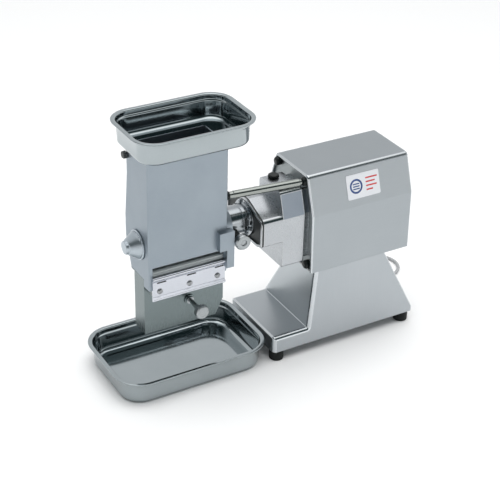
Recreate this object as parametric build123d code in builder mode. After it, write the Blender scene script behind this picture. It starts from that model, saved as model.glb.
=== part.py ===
from build123d import *
import os
from math import acos, atan2, cos, pi, radians, sin, tan

os.makedirs("parts", exist_ok=True)

# Electric meat machine: a motor unit on a pedestal drives a tall twin-roller attachment that
# has a feed tray on top and a collecting tray below. +X runs from the attachment to the rear of
# the motor, +Y away from the operator, +Z up. The origin is under the middle of the machine.
# Sketches use distances from the motor hood's open front and from the drive hub's axis.

FRONT_X = 76.0  # the motor hood's open front, from the origin
HUB_Y = -12.0  # the drive hub's axis, from the origin
HUB_Z = 306.0

# Motor unit
HOOD_LENGTH = 240.0
HOOD_BOTTOM = 192.0
HOOD_OUTLINE = [
    (-60.2, 398), (60.2, 398), (87.1, 319), (90.2, HOOD_BOTTOM), (-90.2, HOOD_BOTTOM), (-87.1, 319),
]
SHEET = 2.0
SKIRT_BOTTOM = 24.0
TOE_TOP = 60.0
TOE_X = -81.0
BASE_REAR = 265.5
BASE_HALF = 90.0
PEDESTAL_TOP = [11.0, 182.0]  # the front and rear of the pedestal where it meets the hood
PEDESTAL_FAR_TOP = 15.0  # the far wall leans in to here
FOOT_X = [-64.0, 249.0]
FOOT_Y = 73.0
PLATE_X = [6.0, 12.0]  # the motor mounting plate's two faces
KNOB_SPOTS = [(-50.5, 383), (50.5, 383), (-72, 205.5), (72, 205.5)]
KNOB_R = 9.2
BRACKETS = [(-52, 387, 18, 19), (52, 387, 18, 19), (-76.5, 206, 24, 14), (76.5, 206, 24, 14)]

# Gear unit
CASE_X = [-58.0, -6.0]
CASE_OUTLINE = [(-72, 213), (-72, 321), (-54.5, 375), (25, 375), (25, 213)]
HEAD_X = -102.0
HEAD_OUTLINE = [
    (-72, 272), (-72, 326), (-8, 350), (8, 350), (58, 331), (70, 319), (70, 281), (50, 265), (-54, 265),
]
CASE_WALL = 5.0
PRESSURE_ANGLE = radians(25)
MOTOR_MODULE, PINION_TEETH, WHEEL_TEETH = 1.25, 12, 42
HUB_MODULE, SMALL_TEETH, BIG_TEETH = 2.0, 12, 28
ROLLER_MODULE, ROLLER_TEETH = 2.0, 15
COUNTER_ANGLE = radians(193)  # from the hub's axis to the countershaft's
MOTOR_ANGLE = radians(-63.6)  # from the countershaft's axis to the motor's
COUNTER_DISTANCE = HUB_MODULE * (SMALL_TEETH + BIG_TEETH) / 2
MOTOR_DISTANCE = MOTOR_MODULE * (PINION_TEETH + WHEEL_TEETH) / 2
COUNTER_Y = COUNTER_DISTANCE * cos(COUNTER_ANGLE)
COUNTER_Z = HUB_Z + COUNTER_DISTANCE * sin(COUNTER_ANGLE)
MOTOR_Y = COUNTER_Y + MOTOR_DISTANCE * cos(MOTOR_ANGLE)
MOTOR_Z = COUNTER_Z + MOTOR_DISTANCE * sin(MOTOR_ANGLE)
BACKLASH = 0.16

# Attachment
CHUTE_X = [-337.2, -168.0]
CHUTE_TOP = 499.3
CHUTE_WALL = 8.0
WINDOW_TOP = 273.0
ROLLER_DISTANCE = ROLLER_MODULE * ROLLER_TEETH
SHAFT_R = 8.0
RUN_FIT = 0.05
DISC_R, DISC_CORE_R = 16.5, 9.5
DISC_PITCH, DISC_WIDTH, DISC_COUNT = 8.0, 2.2, 16
DISC_START = -316.0
TAIL_R = 26.0
HUB_R = 29.5
HUB_X = [-150.0, -102.2]
LOCK_X, LOCK_Z = -141.0, 288.0
DUCT_X = [-337.2, -164.0]
DUCT_Y = [-22.6, 20.0]
DUCT_Z = [113.0, 239.7]
STRIP_SCREW_X = [-316.0, -252.0, -191.0]
STRIP_SCREW_Z = 221.0

# Trays: outer rim length, width, height, corner radius
LOWER_TRAY = (333.0, 226.0, 52.6, 58.0)
LOWER_TRAY_MIDDLE = (-251.0, 12.0)
UPPER_TRAY = (252.4, 170.0, 50.5, 48.0)
UPPER_TRAY_MIDDLE = (-239.5, 0.0)
UPPER_TRAY_BOTTOM = 499.6
RIM_WIDTH = 8.0
TRAY_SHEET = 1.2

# Mains lead
CORD_D = 7.0
CORD_LENGTH = 1460.0
GLAND = (226.0, 50.0)
GLAND_END = 150.0
COIL_MIDDLE = (285.0, 146.0)
COIL_RADIUS = 42.0


def across(x):
    """Faces the rear at x from the hood's front: local x runs away from the operator, y up."""
    return Plane(origin=(FRONT_X + x, HUB_Y, 0), x_dir=(0, 1, 0), z_dir=(1, 0, 0))


def along(y):
    """Faces the operator at y from the hub's axis: local x runs to the rear, y up."""
    return Plane(origin=(FRONT_X, HUB_Y + y, 0), x_dir=(1, 0, 0), z_dir=(0, -1, 0))


def level(z):
    """Faces up at height z."""
    return Plane(origin=(FRONT_X, HUB_Y, z), x_dir=(1, 0, 0), z_dir=(0, 0, 1))


def place(x, y, z):
    return (FRONT_X + x, HUB_Y + y, z)


def finish(builder, name):
    builder.part.label = name
    export_step(builder.part, f"parts/{name}.step")


def polygon(points):
    """A filled outline in the sketch being built."""
    Polygon(*points, align=None)


def rounded_corners(sketch, spots, radius):
    """Rounds the sketch's corners that lie nearest the given local points."""
    for spot in spots:
        corner = min(sketch.vertices(), key=lambda v: (v.X - spot[0]) ** 2 + (v.Y - spot[1]) ** 2)
        fillet(corner, radius)


def bar(name, pieces):
    """A node of round bars along X: (x start, x end, y, z, outer radius, bore radius)."""
    with BuildPart() as node:
        for start, end, y, z, outer, bore in pieces:
            with BuildSketch(across(start)):
                with Locations((y, z)):
                    Circle(outer)
                    if bore:
                        Circle(bore, mode=Mode.SUBTRACT)
            extrude(amount=end - start)
    finish(node, name)


# ---------------------------------------------------------------- pedestal


def base_block(inset, bottom):
    """The pedestal's solid, moved in by inset on every wall."""
    side = [
        (TOE_X, bottom), (TOE_X, TOE_TOP), (0, TOE_TOP), (PEDESTAL_TOP[0], HOOD_BOTTOM),
        (PEDESTAL_TOP[1], HOOD_BOTTOM), (BASE_REAR, 36), (BASE_REAR, bottom),
    ]
    front = [
        (-BASE_HALF, bottom), (-BASE_HALF, HOOD_BOTTOM), (PEDESTAL_FAR_TOP, HOOD_BOTTOM),
        (BASE_HALF, TOE_TOP), (BASE_HALF, bottom),
    ]
    with BuildPart() as block:
        with BuildSketch(along(BASE_HALF)) as profile:
            polygon(side)
            rounded_corners(profile, [(TOE_X, TOE_TOP)], 8)
            rounded_corners(profile, [(0, TOE_TOP)], 3)
            if inset:
                offset(amount=-inset, kind=Kind.INTERSECTION, mode=Mode.REPLACE)
        extrude(amount=2 * BASE_HALF)
        with BuildSketch(across(TOE_X)) as profile:
            polygon(front)
            rounded_corners(profile, [(BASE_HALF, TOE_TOP)], 8)
            if inset:
                offset(amount=-inset, kind=Kind.INTERSECTION, mode=Mode.REPLACE)
        extrude(amount=BASE_REAR - TOE_X, mode=Mode.INTERSECT)
    return block.part


SLOPE = (HOOD_BOTTOM - TOE_TOP) / (BASE_HALF - PEDESTAL_FAR_TOP)
LEAN = atan2(HOOD_BOTTOM - TOE_TOP, BASE_HALF - PEDESTAL_FAR_TOP)
SWITCH_Z = 122.0
SWITCH_Y = BASE_HALF - (SWITCH_Z - TOE_TOP) / SLOPE
SWITCH_FACE = Plane(
    origin=place(95, SWITCH_Y, SWITCH_Z), x_dir=(-1, 0, 0), z_dir=(0, sin(LEAN), cos(LEAN))
)
BUTTON_SPOTS = {"start_button": -17.0, "stop_button": 17.0}

outer_block = base_block(0, SKIRT_BOTTOM)
inner_block = base_block(SHEET, SKIRT_BOTTOM - 2 * SHEET)
with BuildPart() as base_shell:
    add(outer_block)
    front_edges = base_shell.edges().filter_by(
        lambda e: abs(e.center().Y - (HUB_Y - BASE_HALF)) < 1
        and e.center().X < FRONT_X + PEDESTAL_TOP[1] - 100
        and e.center().Z > SKIRT_BOTTOM + 1
        and not (e.center().Z > HOOD_BOTTOM - 1)
    )
    fillet(front_edges, 7)
    add(inner_block, mode=Mode.SUBTRACT)
    with BuildSketch(SWITCH_FACE.offset(5)):
        Rectangle(68, 30)
    extrude(amount=-12, mode=Mode.SUBTRACT)
    with BuildSketch(level(HOOD_BOTTOM + 5)):
        with GridLocations(110, 70, 2, 2):
            with Locations((96, -40)):
                Circle(4.2)
    extrude(amount=-12, mode=Mode.SUBTRACT)
finish(base_shell, "base_shell")

with BuildPart() as base_bottom_plate:
    with BuildSketch(level(25.5)):
        with Locations(((TOE_X + BASE_REAR) / 2, 0)):
            Rectangle(BASE_REAR - TOE_X - 2 * SHEET - 0.8, 2 * (BASE_HALF - SHEET) - 0.8)
        with Locations(((FOOT_X[0] + FOOT_X[1]) / 2, 0)):
            with GridLocations(FOOT_X[1] - FOOT_X[0], 2 * FOOT_Y, 2, 2):
                Circle(3.2, mode=Mode.SUBTRACT)
            with GridLocations(0, 14, 1, 7):
                SlotOverall(90, 5, mode=Mode.SUBTRACT)
    extrude(amount=1.5)
finish(base_bottom_plate, "base_bottom_plate")

with BuildPart() as rubber_feet:
    for start, height, radius, bore in ((0, 7.2, 15.2, 7.0), (7.2, 16.6, 15.2, 3.2), (23.8, 1.5, 12.5, 3.2)):
        with BuildSketch(level(start)):
            with Locations(((FOOT_X[0] + FOOT_X[1]) / 2, 0)):
                with GridLocations(FOOT_X[1] - FOOT_X[0], 2 * FOOT_Y, 2, 2):
                    Circle(radius)
                    Circle(bore, mode=Mode.SUBTRACT)
        extrude(amount=height)
finish(rubber_feet, "rubber_feet")

with BuildPart() as foot_screws:
    for start, height, radius in ((3.0, 4.2, 5.4), (7.2, 29, 3.0)):
        with BuildSketch(level(start)):
            with Locations(((FOOT_X[0] + FOOT_X[1]) / 2, 0)):
                with GridLocations(FOOT_X[1] - FOOT_X[0], 2 * FOOT_Y, 2, 2):
                    Circle(radius)
        extrude(amount=height)
    with BuildSketch(level(27.2)):
        with Locations(((FOOT_X[0] + FOOT_X[1]) / 2, 0)):
            with GridLocations(FOOT_X[1] - FOOT_X[0], 2 * FOOT_Y, 2, 2):
                RegularPolygon(5.7, 6)
    extrude(amount=5)
finish(foot_screws, "foot_screws")

# ---------------------------------------------------------------- motor hood and deck


def hood_section(x, depth, inset, bottom, mode):
    """Extrudes the hood's cross-section, moved in by inset, from x."""
    with BuildSketch(across(x)) as profile:
        points = [(y, bottom if z <= HOOD_BOTTOM else z) for y, z in HOOD_OUTLINE]
        polygon(points)
        rounded_corners(profile, [p for p in points if p[1] > bottom], 10)
        if inset:
            offset(amount=-inset, kind=Kind.INTERSECTION, mode=Mode.REPLACE)
    extrude(profile.sketch, amount=depth, mode=mode)


with BuildPart() as motor_hood:
    hood_section(0, HOOD_LENGTH, 0, HOOD_BOTTOM, Mode.ADD)
    ends = motor_hood.faces().filter_by(Axis.X)
    for face in (ends.sort_by(Axis.X)[0], ends.sort_by(Axis.X)[-1]):
        fillet(face.edges().filter_by(lambda e: e.center().Z > HOOD_BOTTOM + 1), 3.6)
    hood_section(SHEET, HOOD_LENGTH - 2 * SHEET, SHEET, HOOD_BOTTOM - 20, Mode.SUBTRACT)
    hood_section(-1, SHEET + 2, 4.6, HOOD_BOTTOM - 20, Mode.SUBTRACT)
    with BuildSketch(across(HOOD_LENGTH - 5)):
        with Locations((0, 300)):
            with GridLocations(64, 11, 2, 9):
                SlotOverall(48, 5)
    extrude(amount=10, mode=Mode.SUBTRACT)
    for y, z, width, height in BRACKETS:
        with BuildSketch(across(PLATE_X[1] + 0.2)):
            with Locations((y, z)):
                Rectangle(width, height)
        extrude(amount=14)
    with BuildSketch(across(PLATE_X[1])):
        with Locations(*KNOB_SPOTS):
            Circle(3.1)
    extrude(amount=16, mode=Mode.SUBTRACT)
finish(motor_hood, "motor_hood")

DECK_TOP = HOOD_BOTTOM + 3.6
with BuildPart() as motor_deck:
    with BuildSketch(level(HOOD_BOTTOM + 0.1)):
        with Locations((HOOD_LENGTH / 2, 0)):
            Rectangle(HOOD_LENGTH - 2 * SHEET - 0.6, 2 * 87.3)
        with Locations(GLAND):
            Circle(8.2, mode=Mode.SUBTRACT)
        with Locations((96, -40)):
            with GridLocations(110, 70, 2, 2):
                Circle(4.2, mode=Mode.SUBTRACT)
    extrude(amount=3.5)
finish(motor_deck, "motor_deck")

with BuildPart() as deck_bolts:
    for start, height, radius in ((DECK_TOP + 0.1, 5.0, 6.5), (182.0, DECK_TOP - 181.9, 4.0)):
        with BuildSketch(level(start)):
            with Locations((96, -40)):
                with GridLocations(110, 70, 2, 2):
                    Circle(radius)
        extrude(amount=height)
    with BuildSketch(level(HOOD_BOTTOM - SHEET - 6.6)):
        with Locations((96, -40)):
            with GridLocations(110, 70, 2, 2):
                RegularPolygon(7.2, 6)
    extrude(amount=6.4)
finish(deck_bolts, "deck_bolts")

with BuildPart() as mounting_plate:
    hood_section(PLATE_X[0], PLATE_X[1] - PLATE_X[0], 2.6, DECK_TOP - 2.3, Mode.ADD)
    with BuildSketch(across(PLATE_X[0] - 1)):
        with Locations(*KNOB_SPOTS):
            Circle(3.3)
        with Locations((MOTOR_Y, MOTOR_Z)):
            Circle(12.2)
    extrude(amount=8, mode=Mode.SUBTRACT)
    with BuildSketch(across(-14)):
        with Locations((COUNTER_Y, COUNTER_Z)):
            Circle(15)
    extrude(amount=20)
    with BuildSketch(across(-14.1)):
        with Locations((COUNTER_Y, COUNTER_Z)):
            Circle(11.05)
    extrude(amount=7.4, mode=Mode.SUBTRACT)
finish(mounting_plate, "mounting_plate")

with BuildPart() as plate_knobs:
    for start, height, radius in ((-7.0, 12.8, KNOB_R), (5.8, 18, 3.0)):
        with BuildSketch(across(start)):
            with Locations(*KNOB_SPOTS):
                Circle(radius)
        extrude(amount=height)
    fillet(plate_knobs.faces().sort_by(Axis.X)[:4].edges(), 3)
finish(plate_knobs, "plate_knobs")

LABEL_Z = 357.0
LABEL_SLOPE = atan2(HOOD_OUTLINE[0][1] - HOOD_OUTLINE[5][1], HOOD_OUTLINE[0][0] - HOOD_OUTLINE[5][0])
LABEL_Y = HOOD_OUTLINE[0][0] - (HOOD_OUTLINE[0][1] - LABEL_Z) / tan(LABEL_SLOPE)
LABEL_X = 124.0
LABEL_FACE = Plane(
    origin=place(LABEL_X, LABEL_Y, LABEL_Z), x_dir=(1, 0, 0), z_dir=(0, -sin(LABEL_SLOPE), cos(LABEL_SLOPE))
)
with BuildPart() as rating_plate:
    with BuildSketch(LABEL_FACE.offset(0.05)):
        RectangleRounded(78, 50, 3)
    extrude(amount=0.8)
finish(rating_plate, "rating_plate")

# ---------------------------------------------------------------- switch

with BuildPart() as switch_housing:
    with BuildSketch(SWITCH_FACE.offset(0.1)):
        RectangleRounded(84, 44, 8)
    extrude(amount=4)
    with BuildSketch(SWITCH_FACE.offset(-28)):
        Rectangle(66, 28)
    extrude(amount=28.2)
    with BuildSketch(SWITCH_FACE.offset(5)):
        with Locations(*[(x, 0) for x in BUTTON_SPOTS.values()]):
            Circle(11)
    extrude(amount=-16, mode=Mode.SUBTRACT)
finish(switch_housing, "switch_housing")

for name, x in BUTTON_SPOTS.items():
    with BuildPart() as button:
        with BuildSketch(SWITCH_FACE.offset(-5)):
            with Locations((x, 0)):
                Circle(10.7)
        extrude(amount=13 if name == "stop_button" else 11)
        fillet(button.faces().sort_by(Axis(SWITCH_FACE.origin, SWITCH_FACE.z_dir))[-1].edges(), 1.5)
    finish(button, name)

# ---------------------------------------------------------------- gear unit


def case_section(x, depth, outline, inset, round_spots, radius, mode):
    """Extrudes a gear unit outline, moved in by inset, from x."""
    with BuildSketch(across(x)) as profile:
        polygon(outline)
        rounded_corners(profile, round_spots, radius)
        if inset:
            offset(amount=-inset, kind=Kind.INTERSECTION, mode=Mode.REPLACE)
    extrude(profile.sketch, amount=depth, mode=mode)


CASE_BENDS = [(-72, 321)]
HEAD_BENDS = [(-72, 326), (58, 331), (70, 319)]
with BuildPart() as gear_case:
    case_section(CASE_X[0], CASE_X[1] - CASE_X[0], CASE_OUTLINE, 0, CASE_BENDS, 12, Mode.ADD)
    fillet(gear_case.edges().group_by(Axis.X)[-1], 3)
    fillet(gear_case.edges().group_by(Axis.X)[0].filter_by(lambda e: e.center().Z < 310), 2)
    case_section(CASE_X[1] - 1, PLATE_X[0] - CASE_X[1] + 0.9, CASE_OUTLINE, 6, CASE_BENDS, 12, Mode.ADD)
    case_section(HEAD_X, CASE_X[0] - HEAD_X + 4, HEAD_OUTLINE, 0, HEAD_BENDS, 12, Mode.ADD)
    case_section(-54, 43, CASE_OUTLINE, CASE_WALL, CASE_BENDS, 12, Mode.SUBTRACT)
    case_section(-12, 20, CASE_OUTLINE, 11, CASE_BENDS, 12, Mode.SUBTRACT)
    case_section(HEAD_X + 4, 36, HEAD_OUTLINE, 4, HEAD_BENDS, 12, Mode.SUBTRACT)
    for start, length, y, z, radius in (
        (HEAD_X + 3, 13, 0, HUB_Z, 27),
        (HEAD_X + 3, 8, COUNTER_Y, COUNTER_Z, 14),
    ):
        with BuildSketch(across(start)):
            with Locations((y, z)):
                Circle(radius)
        extrude(amount=length)
    for start, length, y, z, radius in (
        (HEAD_X + 4, 14, 0, HUB_Z, 23.55),
        (HEAD_X - 1, 40, 0, HUB_Z, 14),
        (HEAD_X + 4, 8, COUNTER_Y, COUNTER_Z, 11.05),
        (HEAD_X + 38, 12, 0, HUB_Z, 16.05),
        (HEAD_X + 38, 12, COUNTER_Y, COUNTER_Z, 9.5),
    ):
        with BuildSketch(across(start)):
            with Locations((y, z)):
                Circle(radius)
        extrude(amount=length, mode=Mode.SUBTRACT)
    with BuildSketch(level(365)):
        with Locations((-37, 6)):
            Circle(7.1)
    extrude(amount=12, mode=Mode.SUBTRACT)
finish(gear_case, "gear_case")

with BuildPart() as gear_front_cover:
    case_section(HEAD_X - 4.8, 4.6, HEAD_OUTLINE, 0, HEAD_BENDS, 12, Mode.ADD)
    fillet(gear_front_cover.faces().filter_by(Axis.X).sort_by(Axis.X)[0].edges(), 2)
    case_section(HEAD_X - 6, 4, HEAD_OUTLINE, 6, [], 6, Mode.SUBTRACT)
    with BuildSketch(across(HEAD_X - 6)):
        with Locations((0, HUB_Z)):
            Circle(38.2)
    extrude(amount=8, mode=Mode.SUBTRACT)
finish(gear_front_cover, "gear_front_cover")

BOLT_PCD_R = 33.2
with BuildPart() as drive_hub:
    for start, end, radius in ((HUB_X[0], HUB_X[1], HUB_R), (HUB_X[1] - 5, HUB_X[1], 37.6)):
        with BuildSketch(across(start)):
            with Locations((0, HUB_Z)):
                Circle(radius)
        extrude(amount=end - start)
    with BuildSketch(along(-6)):
        with Locations((LOCK_X, LOCK_Z)):
            Circle(9)
    extrude(amount=41)
    with BuildSketch(across(HUB_X[0] - 1)):
        with Locations((0, HUB_Z)):
            Circle(TAIL_R + RUN_FIT)
    extrude(amount=38, mode=Mode.SUBTRACT)
    with BuildSketch(across(HUB_X[0] + 30)):
        with Locations((0, HUB_Z)):
            Circle(15)
    extrude(amount=20, mode=Mode.SUBTRACT)
    with BuildSketch(along(-10)):
        with Locations((LOCK_X, LOCK_Z)):
            Circle(5 + RUN_FIT)
    extrude(amount=40, mode=Mode.SUBTRACT)
    with BuildSketch(across(HUB_X[1] - 8)):
        with Locations((0, HUB_Z)):
            with PolarLocations(BOLT_PCD_R, 8, 22.5):
                Circle(2.1)
    extrude(amount=10, mode=Mode.SUBTRACT)
finish(drive_hub, "drive_hub")

with BuildPart() as hub_bolts:
    for start, length, radius in ((HUB_X[1] - 9.2, 4.1, 3.3), (HUB_X[1] - 5.1, 5.0, 2.0)):
        with BuildSketch(across(start)):
            with Locations((0, HUB_Z)):
                with PolarLocations(BOLT_PCD_R, 8, 22.5):
                    Circle(radius)
        extrude(amount=length)
finish(hub_bolts, "hub_bolts")

with BuildPart() as oil_plug:
    for start, height, radius in ((366.0, 9.2, 7.0), (375.2, 7.0, 11.3)):
        with BuildSketch(level(start)):
            with Locations((-37, 6)):
                Circle(radius)
        extrude(amount=height)
    fillet(oil_plug.faces().sort_by(Axis.Z)[-1].edges(), 1.5)
finish(oil_plug, "oil_plug")


def gear_points(teeth, module, turn):
    """An involute gear's outline, with stub teeth and a tooth's middle at angle turn."""
    pitch_r = teeth * module / 2
    base_r = pitch_r * cos(PRESSURE_ANGLE)
    tip_r, root_r = pitch_r + 0.8 * module, pitch_r - 1.05 * module
    start_r = max(base_r, root_r)
    half = pi / (2 * teeth) + tan(PRESSURE_ANGLE) - PRESSURE_ANGLE - BACKLASH / (2 * pitch_r)
    flank = []
    for step in range(5):
        r = start_r + (tip_r - start_r) * step / 4
        angle = acos(min(1.0, base_r / r))
        flank.append((r, half - (tan(angle) - angle)))
    if root_r < base_r:
        flank.insert(0, (root_r, flank[0][1] + 0.3 / pitch_r))
    tooth = [(r, -a) for r, a in flank] + [(r, a) for r, a in reversed(flank)]
    points = []
    for number in range(teeth):
        middle = turn + 2 * pi * number / teeth
        points += [(r * cos(middle + a), r * sin(middle + a)) for r, a in tooth]
    return points


def gear(name, start, width, y, z, teeth, module, turn, bore):
    with BuildPart() as node:
        with BuildSketch(across(start)):
            polygon([(y + u, z + v) for u, v in gear_points(teeth, module, turn)])
            with Locations((y, z)):
                Circle(bore, mode=Mode.SUBTRACT)
        extrude(amount=width)
    finish(node, name)


COUNTER_R = 7.0
OUTPUT_R = 10.0
MOTOR_SHAFT_R = 5.0
gear(
    "motor_pinion", -50, 15, MOTOR_Y, MOTOR_Z, PINION_TEETH, MOTOR_MODULE,
    MOTOR_ANGLE + pi, MOTOR_SHAFT_R + 0.02,
)
gear(
    "countershaft_gear", -48, 12, COUNTER_Y, COUNTER_Z, WHEEL_TEETH, MOTOR_MODULE,
    MOTOR_ANGLE + pi / WHEEL_TEETH, COUNTER_R + 0.02,
)
gear(
    "countershaft_pinion", -84, 18, COUNTER_Y, COUNTER_Z, SMALL_TEETH, HUB_MODULE,
    COUNTER_ANGLE + pi, COUNTER_R + 0.02,
)
gear(
    "output_gear", -83, 16, 0, HUB_Z, BIG_TEETH, HUB_MODULE,
    COUNTER_ANGLE + pi / BIG_TEETH, OUTPUT_R + 0.02,
)
bar("countershaft", [
    (-97.5, -90, COUNTER_Y, COUNTER_Z, 4, 0),
    (-90, -14.5, COUNTER_Y, COUNTER_Z, COUNTER_R, 0),
    (-14.5, -7.5, COUNTER_Y, COUNTER_Z, 4, 0),
])
bar("gearbox_bearings", [
    (-97.8, -84.5, 0, HUB_Z, 23.5, OUTPUT_R + RUN_FIT),
    (-63.8, -54.4, 0, HUB_Z, 16, OUTPUT_R + RUN_FIT),
    (-97.6, -90.6, COUNTER_Y, COUNTER_Z, 11, 4 + RUN_FIT),
    (-13.9, -7.0, COUNTER_Y, COUNTER_Z, 11, 4 + RUN_FIT),
])
bar("shaft_seals", [
    (-107.0, -102.4, 0, HUB_Z, 14.6, OUTPUT_R + RUN_FIT),
    (6.3, 11.7, MOTOR_Y, MOTOR_Z, 12.1, MOTOR_SHAFT_R + RUN_FIT),
])

DRIVE_SLOT = [-119.0, -108.0]
with BuildPart() as output_shaft:
    with BuildSketch(across(DRIVE_SLOT[0])):
        with Locations((0, HUB_Z)):
            Circle(OUTPUT_R)
    extrude(amount=-52 - DRIVE_SLOT[0])
    with BuildSketch(across(DRIVE_SLOT[0] - 1)):
        with Locations((0, HUB_Z)):
            Rectangle(9.4, 30)
    extrude(amount=9, mode=Mode.SUBTRACT)
finish(output_shaft, "output_shaft")

# ---------------------------------------------------------------- motor

STATOR_X = [34.0, 132.0]
STATOR_R, ROTOR_R = 58.0, 32.0
with BuildPart() as motor_stator:
    with BuildSketch(across(STATOR_X[0])):
        with Locations((MOTOR_Y, MOTOR_Z)):
            Circle(STATOR_R)
            Circle(ROTOR_R + 0.6, mode=Mode.SUBTRACT)
            with PolarLocations(STATOR_R + 1, 24):
                Rectangle(8, 3.2, mode=Mode.SUBTRACT)
    extrude(amount=STATOR_X[1] - STATOR_X[0])
finish(motor_stator, "motor_stator")
bar("stator_windings", [
    (24, STATOR_X[0] - 0.1, MOTOR_Y, MOTOR_Z, 50, 36),
    (STATOR_X[1] + 0.1, 143, MOTOR_Y, MOTOR_Z, 50, 36),
])
bar("motor_end_shields", [
    (PLATE_X[1] + 0.1, 19, MOTOR_Y, MOTOR_Z, STATOR_R, 13.1),
    (19, STATOR_X[0] - 0.1, MOTOR_Y, MOTOR_Z, STATOR_R, STATOR_R - 5),
    (STATOR_X[1] + 0.1, 146, MOTOR_Y, MOTOR_Z, STATOR_R, STATOR_R - 5),
    (146, 153, MOTOR_Y, MOTOR_Z, STATOR_R, 13.1),
])
bar("motor_bearings", [
    (12.4, 19, MOTOR_Y, MOTOR_Z, 13, MOTOR_SHAFT_R + RUN_FIT),
    (146, 153, MOTOR_Y, MOTOR_Z, 13, MOTOR_SHAFT_R + RUN_FIT),
])
bar("rotor_shaft", [(-50, 178, MOTOR_Y, MOTOR_Z, MOTOR_SHAFT_R, 0)])
bar("rotor_core", [(36, 130, MOTOR_Y, MOTOR_Z, ROTOR_R, MOTOR_SHAFT_R + 0.02)])

with BuildPart() as cooling_fan:
    for start, end, radius in ((158, 161, 48), (158, 176, 12)):
        with BuildSketch(across(start)):
            with Locations((MOTOR_Y, MOTOR_Z)):
                Circle(radius)
        extrude(amount=end - start)
    with BuildSketch(across(160.5)):
        with Locations((MOTOR_Y, MOTOR_Z)):
            with PolarLocations(29, 9):
                Rectangle(36, 2.4)
    extrude(amount=14)
    with BuildSketch(across(150)):
        with Locations((MOTOR_Y, MOTOR_Z)):
            Circle(MOTOR_SHAFT_R + 0.02)
    extrude(amount=40, mode=Mode.SUBTRACT)
finish(cooling_fan, "cooling_fan")

with BuildPart() as run_capacitor:
    with BuildSketch(across(60)):
        with Locations((58, DECK_TOP + 20.2)):
            Circle(20)
    extrude(amount=82)
    fillet(run_capacitor.edges().filter_by(GeomType.CIRCLE), 2.5)
    with BuildSketch(across(58)):
        with Locations((50, DECK_TOP + 20.2), (66, DECK_TOP + 20.2)):
            Rectangle(1, 6.3)
    extrude(amount=-10)
    with BuildSketch(across(50)):
        with Locations((58, DECK_TOP + 20.2)):
            Circle(15)
    extrude(amount=12)
finish(run_capacitor, "run_capacitor")

# ---------------------------------------------------------------- stay rod

ROD_START, ROD_END = Vector(*place(-8.8, -50.5, 383.5)), Vector(*place(-160.5, -34.5, 384))
ROD_LINE = (ROD_END - ROD_START).normalized()
with BuildPart() as stay_rod:
    with BuildSketch(Plane(origin=ROD_START, z_dir=ROD_LINE)):
        Circle(8)
    extrude(amount=(ROD_END - ROD_START).length)
    fillet(stay_rod.edges().sort_by(Axis.X)[0], 0.8)
finish(stay_rod, "stay_rod")

with BuildPart() as stay_tip:
    with BuildSketch(Plane(origin=ROD_END + ROD_LINE * 0.05, z_dir=ROD_LINE)):
        Circle(8.8)
    extrude(amount=6)
    fillet(stay_tip.edges().sort_by(Axis.X)[0], 1.2)
finish(stay_tip, "stay_tip")

# ---------------------------------------------------------------- attachment body

CHUTE_OUTLINE = [
    (-44.4, 224), (-44.4, CHUTE_TOP), (42, CHUTE_TOP), (42, 440), (54, 345), (54, 300),
    (33, 240), (-22.8, 240), (-22.8, 224),
]
CHUTE_INSIDE = [(-38.4, 200), (-38.4, 510), (36, 510), (36, 438), (48, 344), (48, 301), (27, 238), (27, 200)]
INSIDE_X = [CHUTE_X[0] + CHUTE_WALL, CHUTE_X[1] - CHUTE_WALL]
COLLAR_X, COLLAR_Y = [-332.0, -173.2], [-41.2, 38.8]

with BuildPart() as chute_body:
    with BuildSketch(across(CHUTE_X[0])) as profile:
        polygon(CHUTE_OUTLINE)
        rounded_corners(profile, [(42, 440), (54, 345), (54, 300)], 25)
    extrude(amount=CHUTE_X[1] - CHUTE_X[0])
    long_edges = chute_body.edges().filter_by(Axis.Z).group_by(Axis.Y)[0]
    fillet(long_edges, 2.5)
    with BuildSketch(across(CHUTE_X[1] - 1)):
        with Locations((0, HUB_Z)):
            Circle(42)
    extrude(amount=15)
    with BuildSketch(across(CHUTE_X[1] - 1)):
        with Locations((0, HUB_Z)):
            Circle(TAIL_R)
    extrude(amount=-119.5 - CHUTE_X[1] + 1)
    with BuildSketch(level(CHUTE_TOP)):
        with Locations((sum(COLLAR_X) / 2, sum(COLLAR_Y) / 2)):
            RectangleRounded(COLLAR_X[1] - COLLAR_X[0], COLLAR_Y[1] - COLLAR_Y[0], 8)
    extrude(amount=5)
    with BuildSketch(along(-44)):
        polygon([(-190, 276), (-190, 316), (-158, 316), (-158, 236), (-174, 236), (-174, 276)])
    extrude(amount=12)
    with BuildSketch(across(INSIDE_X[0])) as hollow:
        polygon(CHUTE_INSIDE)
        rounded_corners(hollow, [(36, 438), (48, 344), (48, 301)], 20)
    extrude(amount=INSIDE_X[1] - INSIDE_X[0], mode=Mode.SUBTRACT)
    with BuildSketch(along(-30)):
        with Locations((sum(INSIDE_X) / 2, (200 + WINDOW_TOP) / 2)):
            Rectangle(INSIDE_X[1] - INSIDE_X[0], WINDOW_TOP - 200)
    extrude(amount=14.8, mode=Mode.SUBTRACT)
    for start, end, y, radius in (
        (CHUTE_X[0] - 1, INSIDE_X[0] + 1, 0, 11.1),
        (INSIDE_X[0] - 5, INSIDE_X[0] + 1, ROLLER_DISTANCE, 11.1),
        (INSIDE_X[1] - 1, INSIDE_X[1] + 12, 0, 11.1),
        (INSIDE_X[1] - 1, INSIDE_X[1] + 7, ROLLER_DISTANCE, 11.1),
        (INSIDE_X[1], -110, 0, SHAFT_R + 0.5),
    ):
        with BuildSketch(across(start)):
            with Locations((y, HUB_Z)):
                Circle(radius)
        extrude(amount=end - start, mode=Mode.SUBTRACT)
finish(chute_body, "chute_body")

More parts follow.
